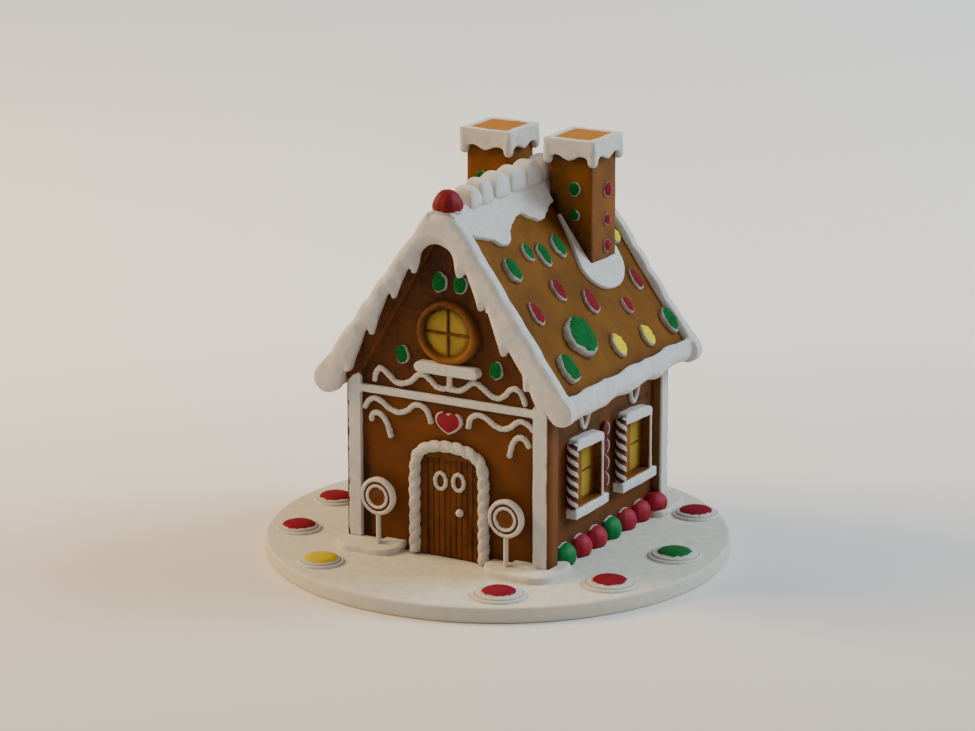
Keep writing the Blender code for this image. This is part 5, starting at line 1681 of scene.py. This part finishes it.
def make_candy_strips():
    bm = bmesh.new()
    for side in (1, -1):
        wall = WALL_X + 0.1 * MM
        outward = Vector((side, 0, 0))
        path = [Vector((side * wall, CANDY_Y, z * MM)) for z in (33, 36, 40, 44, 48, 52, 56, 57)]
        add_roll(bm, path, 2.2 * MM, outward, flat=0.42, sides=14, swell=0.08, swell_size=4 * MM)
        for level in CANDY_LEVELS:
            centre = Vector((side * wall, CANDY_Y, level))
            rings = []
            for radius, height in CANDY_PROFILE:
                rings.append([centre + Vector((side * height * MM, radius * MM * math.cos(a),
                                               radius * 1.15 * MM * math.sin(a)))
                              for a in (2 * math.pi * k / 24 for k in range(24))])
            join_rings(bm, rings)

    def crescent(point):
        best = 0.0
        for level in CANDY_LEVELS:
            y, z = (point.y - CANDY_Y) / MM, (point.z - level) / MM
            radius = math.hypot(y, z / 1.15)
            if radius < 3.0:
                ring = step_between(radius, 1.7, 2.1)
                facing_side = step_between(y / max(radius, 0.1), -0.1, 0.5)
                low = abs(point.x) - WALL_X
                best = max(best, ring * facing_side * (low > 0.8 * MM))
        return best

    finish_piece("candy_strips", bm, STRIP_PAINT, "red", masks={"paint": crescent})


make_candy_strips()


HOOK = ((-10.2, 70.0), (-9.6, 66.8), (-8.6, 63.4), (-6.8, 61.6), (-4.8, 63.0), (-3.2, 65.6),
        (-2.2, 68.6), (-2.0, 71.0))
HOOK_SPACING = 44.6 * MM
HOOK_RADIUS = 0.95 * MM


def make_eave_hooks():
    bm = bmesh.new()
    line = flowing([(y * MM, z * MM) for y, z in HOOK], 5)
    lines = [line, [point + Vector((HOOK_SPACING, 0)) for point in line]]
    for side in (1, -1):
        add_shells(bm, pipe(lines, HOOK_RADIUS, PIPING,
                            lambda u, v, w: Vector((side * (WALL_X + 0.4 * MM + w), u, v)),
                            reach=HOOK_RADIUS, end_length=HOOK_RADIUS, height=1.2, swell=0.12))
    soft = melt("eave_hooks", bm, 0.34 * MM, 2, grain=0.12 * MM, grain_size=0.9 * MM)
    finish_piece("eave_hooks", soft, PIPING, "icing")


make_eave_hooks()


# ---------------------------------------------------------------- gumdrops
# Half-round gumdrops in a row along the foot of each side wall, and a red one on the ridge.
# Where they touch the wall their tops were missed by the paint and stay white.

def drop_material(name, colour):
    return cast_material(name, colour, tuple(c * 0.45 for c in colour), speck=(0.4, 0.2, 0.2),
                         tops=(0.52, 0.50, 0.47), mask="bare", wash_and_shade="wash_and_shade", mottle=0.30, size=150,
                         specks=0.03, roughness=0.55, relief=0.16)


DROP_PAINTS = {"red": drop_material("red_gumdrop", (0.29, 0.0120, 0.027)),
               "green": drop_material("green_gumdrop", (0.0035, 0.15, 0.036)),
               "ridge": drop_material("ridge_gumdrop_red", (0.175, 0.0045, 0.0110))}
LAST_DROP = 7
DROP_ORDER = ("green", "red", "red", "green", "red", "red", "red")


def dome_rings(bm, centre, half_x, half_y, height, seed, cone=0.0, steps=48):
    """Gumdrop: a fat round dome that narrows a little at its foot, with faint upright ribs."""
    rings = []
    for i in range(19):
        bend = math.radians(-32 + 122 * i / 18)
        level = height * (math.sin(bend) + 0.53) / 1.53
        width = max(0.01, math.cos(bend)) ** (0.9 + cone)
        ring = []
        for k in range(steps):
            turn = 2 * math.pi * k / steps
            ribs = 0.012 * math.sin(turn * 11 + seed) + cone * 0.1 * math.sin(turn * 5)
            size = width * (1 + ribs)
            spot = Vector((size * half_x * math.cos(turn), size * half_y * math.sin(turn), level))
            spot *= 1 + 0.035 * wander(spot + centre, 3.5 * MM, seed)
            ring.append(centre + spot)
        rings.append(ring)
    join_rings(bm, rings)


def make_gumdrops():
    for name, side in (("right", 1), ("left", -1)):
        for number, colour in enumerate(DROP_ORDER, 1):
            low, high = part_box(f"gumdrop_{name}_{number}")
            last = number == LAST_DROP
            centre = Vector((side * (WALL_X + (3.4 if last else 0.0) * MM),
                             (low.y + high.y) / 2 + (0.8 if last else -0.9) * MM, low.z - 0.3 * MM))
            bm = bmesh.new()
            dome_rings(bm, centre, (5.4 if last else 5.9) * MM, (6.1 if last else 6.65) * MM,
                       high.z - low.z + (-1.5 if last else 0.5) * MM, number)
            top = high.z

            def bare(point):
                wall_side = step_between(WALL_X + 1.5 * MM - abs(point.x), 0, 1.0 * MM)
                return wall_side * step_between(point.z, top - 1.5 * MM, top - 0.5 * MM)

            # painted shade round the foot of the gumdrop
            def foot_shade(point):
                return 0.6 * (1 - step_between(point.z, low.z, low.z + 1.6 * MM))

            finish_piece(f"wall_gumdrop_{name}_{number}", bm, DROP_PAINTS[colour], colour,
                         f"gumdrop_{name}_{number}", masks={"bare": bare, "wash_and_shade": foot_shade})
    low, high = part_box("gumdrop_ridge")
    centre = Vector(((low.x + high.x) / 2, (low.y + high.y) / 2 - 0.8 * MM, low.z - 3.4 * MM))
    bm = bmesh.new()
    half = (high.x - low.x) / 2 + 0.2 * MM
    dome_rings(bm, centre, half, half, high.z - 0.9 * MM - centre.z, 9, cone=0.25)

    def bare_foot(point):
        edge = point.z + 0.6 * MM * wander(point, 2 * MM, 75)
        return 1 - step_between(edge, low.z - 1.6 * MM, low.z - 0.8 * MM)

    finish_piece("ridge_gumdrop", bm, DROP_PAINTS["ridge"], "red", "gumdrop_ridge",
                 masks={"bare": bare_foot, "wash_and_shade": lambda point: 0.25 * max(
                     0, math.sin(math.atan2(point.y - centre.y, point.x) * 5))})


make_gumdrops()


# ---------------------------------------------------------------- sweets on the base
# Nine round sweets in the snow: a coloured, slightly domed middle on two flat white steps
# with fine grooves, all cast with the base and painted by hand.

def sweet_material(name, colour):
    return cast_material(name, (0.55, 0.53, 0.49), (0.16, 0.12, 0.10), tops=colour, mask="paint",
                         wash_and_shade="wash_and_shade", mottle=0.08, size=90, specks=0.0, roughness=0.7, relief=0.2,
                         shine=0.05)


SWEET_PAINTS = {"red": sweet_material("red_sweet", (0.195, 0.0055, 0.0175)),
                "green": sweet_material("green_sweet", (0.0085, 0.117, 0.026)),
                "yellow": sweet_material("yellow_sweet", (0.50, 0.40, 0.0022))}
SWEET_COLOURS = ("red", "red", "green", "red", "green", "yellow", "red", "red", "yellow")


def make_sweet(number, colour):
    low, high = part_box(f"sweet_{number}")
    centre = Vector(((low.x + high.x) / 2, (low.y + high.y) / 2, low.z - 0.2 * MM))
    outer = (high.x - low.x) / 2 / MM - (0.4 if number > 6 else 0)
    step = outer - 1.7
    profile = [(0.02, 3.3), (2, 3.28), (4, 3.15), (5.6, 2.85), (6.6, 2.45), (7.2, 2.0), (7.45, 1.7),
               (step - 0.4, 1.75), (step - 0.1, 1.6), (step + 0.1, 1.2), (step + 0.25, 0.75),
               (step + 0.6, 0.95), (outer - 0.5, 0.95), (outer - 0.1, 0.6), (outer, 0.1),
               (outer, -0.2)]
    steps = 72
    bm = bmesh.new()
    rings = []
    for r, height in profile:
        ring = []
        for i in range(steps):
            turn = 2 * math.pi * i / steps
            spot = Vector((math.cos(turn), math.sin(turn), 0)) * r * MM
            spot *= 1 + 0.012 * wander(spot + centre, 7 * MM, 80)
            bulge = 0.10 * wander(spot + centre, 2.6 * MM, 81) * (r < 7)
            ring.append(centre + spot + Vector((0, 0, (height + bulge) * MM)))
        rings.append(ring)
    join_rings(bm, rings)

    def painted(point):
        away = math.hypot(point.x - centre.x, point.y - centre.y)
        return 1 - step_between(away + 0.35 * MM * wander(point, 2 * MM, 82), 6.8 * MM, 7.6 * MM)

    # painted shade in the groove of the step and round the foot of the domed middle
    def groove_shade(point):
        away = math.hypot(point.x - centre.x, point.y - centre.y) / MM
        groove = 0.55 * math.exp(-abs(away - step - 0.2) / 0.22)
        return groove + 0.3 * math.exp(-abs(away - 7.5) / 0.3)

    finish_piece(f"snow_sweet_{number}", bm, SWEET_PAINTS[colour], colour, f"sweet_{number}",
                 masks={"paint": painted, "wash_and_shade": groove_shade})


for sweet_number, sweet_colour in enumerate(SWEET_COLOURS, 1):
    make_sweet(sweet_number, sweet_colour)


# ---------------------------------------------------------------- gems
# Sugar gems pressed into the roof, the chimneys and the gables: a rough pale body with a
# flat top brushed with red, green or yellow paint. The largest, a green one, stands alone.

def gem_material(name, colour):
    return cast_material(name, (0.43, 0.39, 0.37), tuple(0.35 * part for part in colour),
                         speck=(0.05, 0.025, 0.02), tops=colour, mask="paint", wash_and_shade="wash_and_shade",
                         mottle=0.42, size=190, specks=0.12, roughness=0.7, relief=0.30, shine=0.08)


GEM_PAINTS = {"red": gem_material("red_gem", (0.20, 0.0080, 0.0190)),
              "green": gem_material("green_gem", (0.0024, 0.116, 0.0225)),
              "yellow": gem_material("yellow_gem", (0.84, 0.68, 0.0030))}


GEM_LEVELS = ((1.0, -0.25, 0), (1.03, 0.2, 0), (1.04, 0.45, 0), (1.02, 0.66, 0.1),
              (0.98, 0.84, 0.3), (0.92, 0.96, 0.6), (0.82, 1.05, 1), (0.7, 1.11, 1),
              (0.56, 1.16, 1), (0.42, 1.20, 1),
              (0.28, 1.22, 1), (0.14, 1.24, 1), (0.01, 1.25, 1))
GEM_SIDES = 32


def gem_mould(seed):
    """Unit gem with its own rough outline: each level has a width, a height and its paint."""
    bm = bmesh.new()
    rings, paint = [], []
    for scale, level, painted in GEM_LEVELS:
        ring = []
        for i in range(GEM_SIDES):
            turn = 2 * math.pi * i / GEM_SIDES
            around = Vector((math.cos(turn), math.sin(turn), seed))
            uneven = 1 + 0.16 * noise.noise(around * 1.7) + 0.05 * noise.noise(around * 5)
            rough = 0.30 * noise.noise(Vector((around.x, around.y, 1)) * scale * 3.6
                                       + Vector((seed, 0, 0))) * (level > 0)
            ring.append((scale * uneven * around.x, scale * uneven * around.y, level + rough))
            bare = 0.6 * math.cos(turn + 0.8) + 0.12
            paint.append(min(1, max(0, painted - bare * (level > 0.4))) if scale > 0.9 else painted)
        rings.append(ring)
    join_rings(bm, rings)
    mesh = bpy.data.meshes.new("gem_mould")
    bm.to_mesh(mesh)
    bm.free()
    mesh.attributes.new("paint", "FLOAT", "POINT").data.foreach_set("value", paint)
    return mesh


def gem(centre, along, across, sizes, seed):
    """Place of one gem: along and across span its surface; sizes are half widths and height."""
    turned = Matrix((along, across, along.cross(across).normalized())).transposed()
    return (centre, turned.to_euler(), [size * MM for size in sizes]), seed


def set_gems(name, colour, gems, *nodes):
    bm = set_moulds([gem_mould(seed) for place, seed in gems], [place for place, seed in gems],
                    GEM_PAINTS[colour])
    finish_piece(name, bm, GEM_PAINTS[colour], colour, *nodes, masks=patchy(0.4, 1.4 * MM, 85))


ROOF_GEMS = (("green", 35.5, -26.0, 5.6, 3.8, 2.0), ("green", 30.8, -8.2, 4.1, 2.7, 1.5),
             ("green", 34.2, 1.9, 5.4, 3.5, 1.5), ("green", 33.6, 15.6, 5.5, 3.5, 1.5),
             ("green", 82.2, -28.0, 6.5, 5.2, 2.4), ("green", 82.2, 62.4, 5.8, 4.4, 2.2),
             ("red", 50.6, -2.6, 5.2, 3.4, 1.5), ("red", 60.9, 15.1, 5.6, 3.8, 1.4),
             ("red", 56.0, -26.5, 5.2, 3.3, 1.2), ("red", 68.7, 39.3, 3.9, 2.8, 1.6),
             ("red", 60.1, 57.1, 5.0, 3.3, 1.2), ("yellow", 82.4, 15.9, 5.3, 3.7, 1.9),
             ("yellow", 84.1, 40.6, 5.0, 3.4, 1.7), ("yellow", 37.7, 59.4, 4.8, 2.9, 2.0))
WALL_GEMS = ((-3.6, 126.0, 3.5, 4.2), (6.4, 126.2, 3.3, 4.0), (-21.7, 92.7, 3.1, 3.9),
             (23.5, 91.7, 3.1, 3.8))


CHIMNEY_GREENS = ((154.0, 3.0), (142.6, 2.5))
CHIMNEY_REDS = ((43.0, 152.1, 3.2), (42.6, 139.1, 2.4), (42.8, 127.6, 2.6))
UP = Vector((0, 0, 1))


def down_slope(side):
    return (on_roof(side, 1, 0, 0) - on_roof(side, 0, 0, 0)).normalized()


def make_gems():
    sets = {"red": [], "green": [], "yellow": []}
    for side, name in ((1, "right"), (-1, "left")):
        for number, (colour, run, y, *sizes) in enumerate(ROOF_GEMS):
            sets[colour].append(gem(on_roof(side, run * MM, y * MM, 0.1 * MM), down_slope(side),
                                    Vector((0, side, 0)), sizes, number + side * 0.3))
        low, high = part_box(f"chimney_{name}")
        outer_x = high.x if side > 0 else low.x
        middle_x = (low.x + high.x) / 2
        for x_axis, y in ((Vector((1, 0, 0)), low.y), (Vector((-1, 0, 0)), high.y)):
            for z, half in CHIMNEY_GREENS:
                centre = Vector((middle_x + side * 2.3 * MM, y, z * MM))
                sets["green"].append(gem(centre, x_axis, UP, (half - 0.2, half, 1.1), z))
        for y, z, half in CHIMNEY_REDS:
            sets["red"].append(gem(Vector((outer_x, y * MM, z * MM)), Vector((0, side, 0)), UP,
                                   (half * 0.92, half, 1.1), y + z))
    for face_y, out in ((FRONT_WALL, -1), (REAR_WALL, 1)):
        for x, z, half_x, half_z in WALL_GEMS:
            sets["green"].append(gem(Vector((x * MM, face_y, z * MM)), Vector((-out, 0, 0)), UP,
                                     (half_x, half_z, 1.5), x))
    for colour, gems in sets.items():
        set_gems(f"{colour}_gems", colour, gems)
    large = gem(on_roof(1, 72.6 * MM, -7.6 * MM, 0.1 * MM), down_slope(1), Vector((0, 1, 0)),
                (9.2, 9.0, 3.2), 3.3)
    set_gems("large_green_gem", "green", [large], "gem_large")


make_gems()
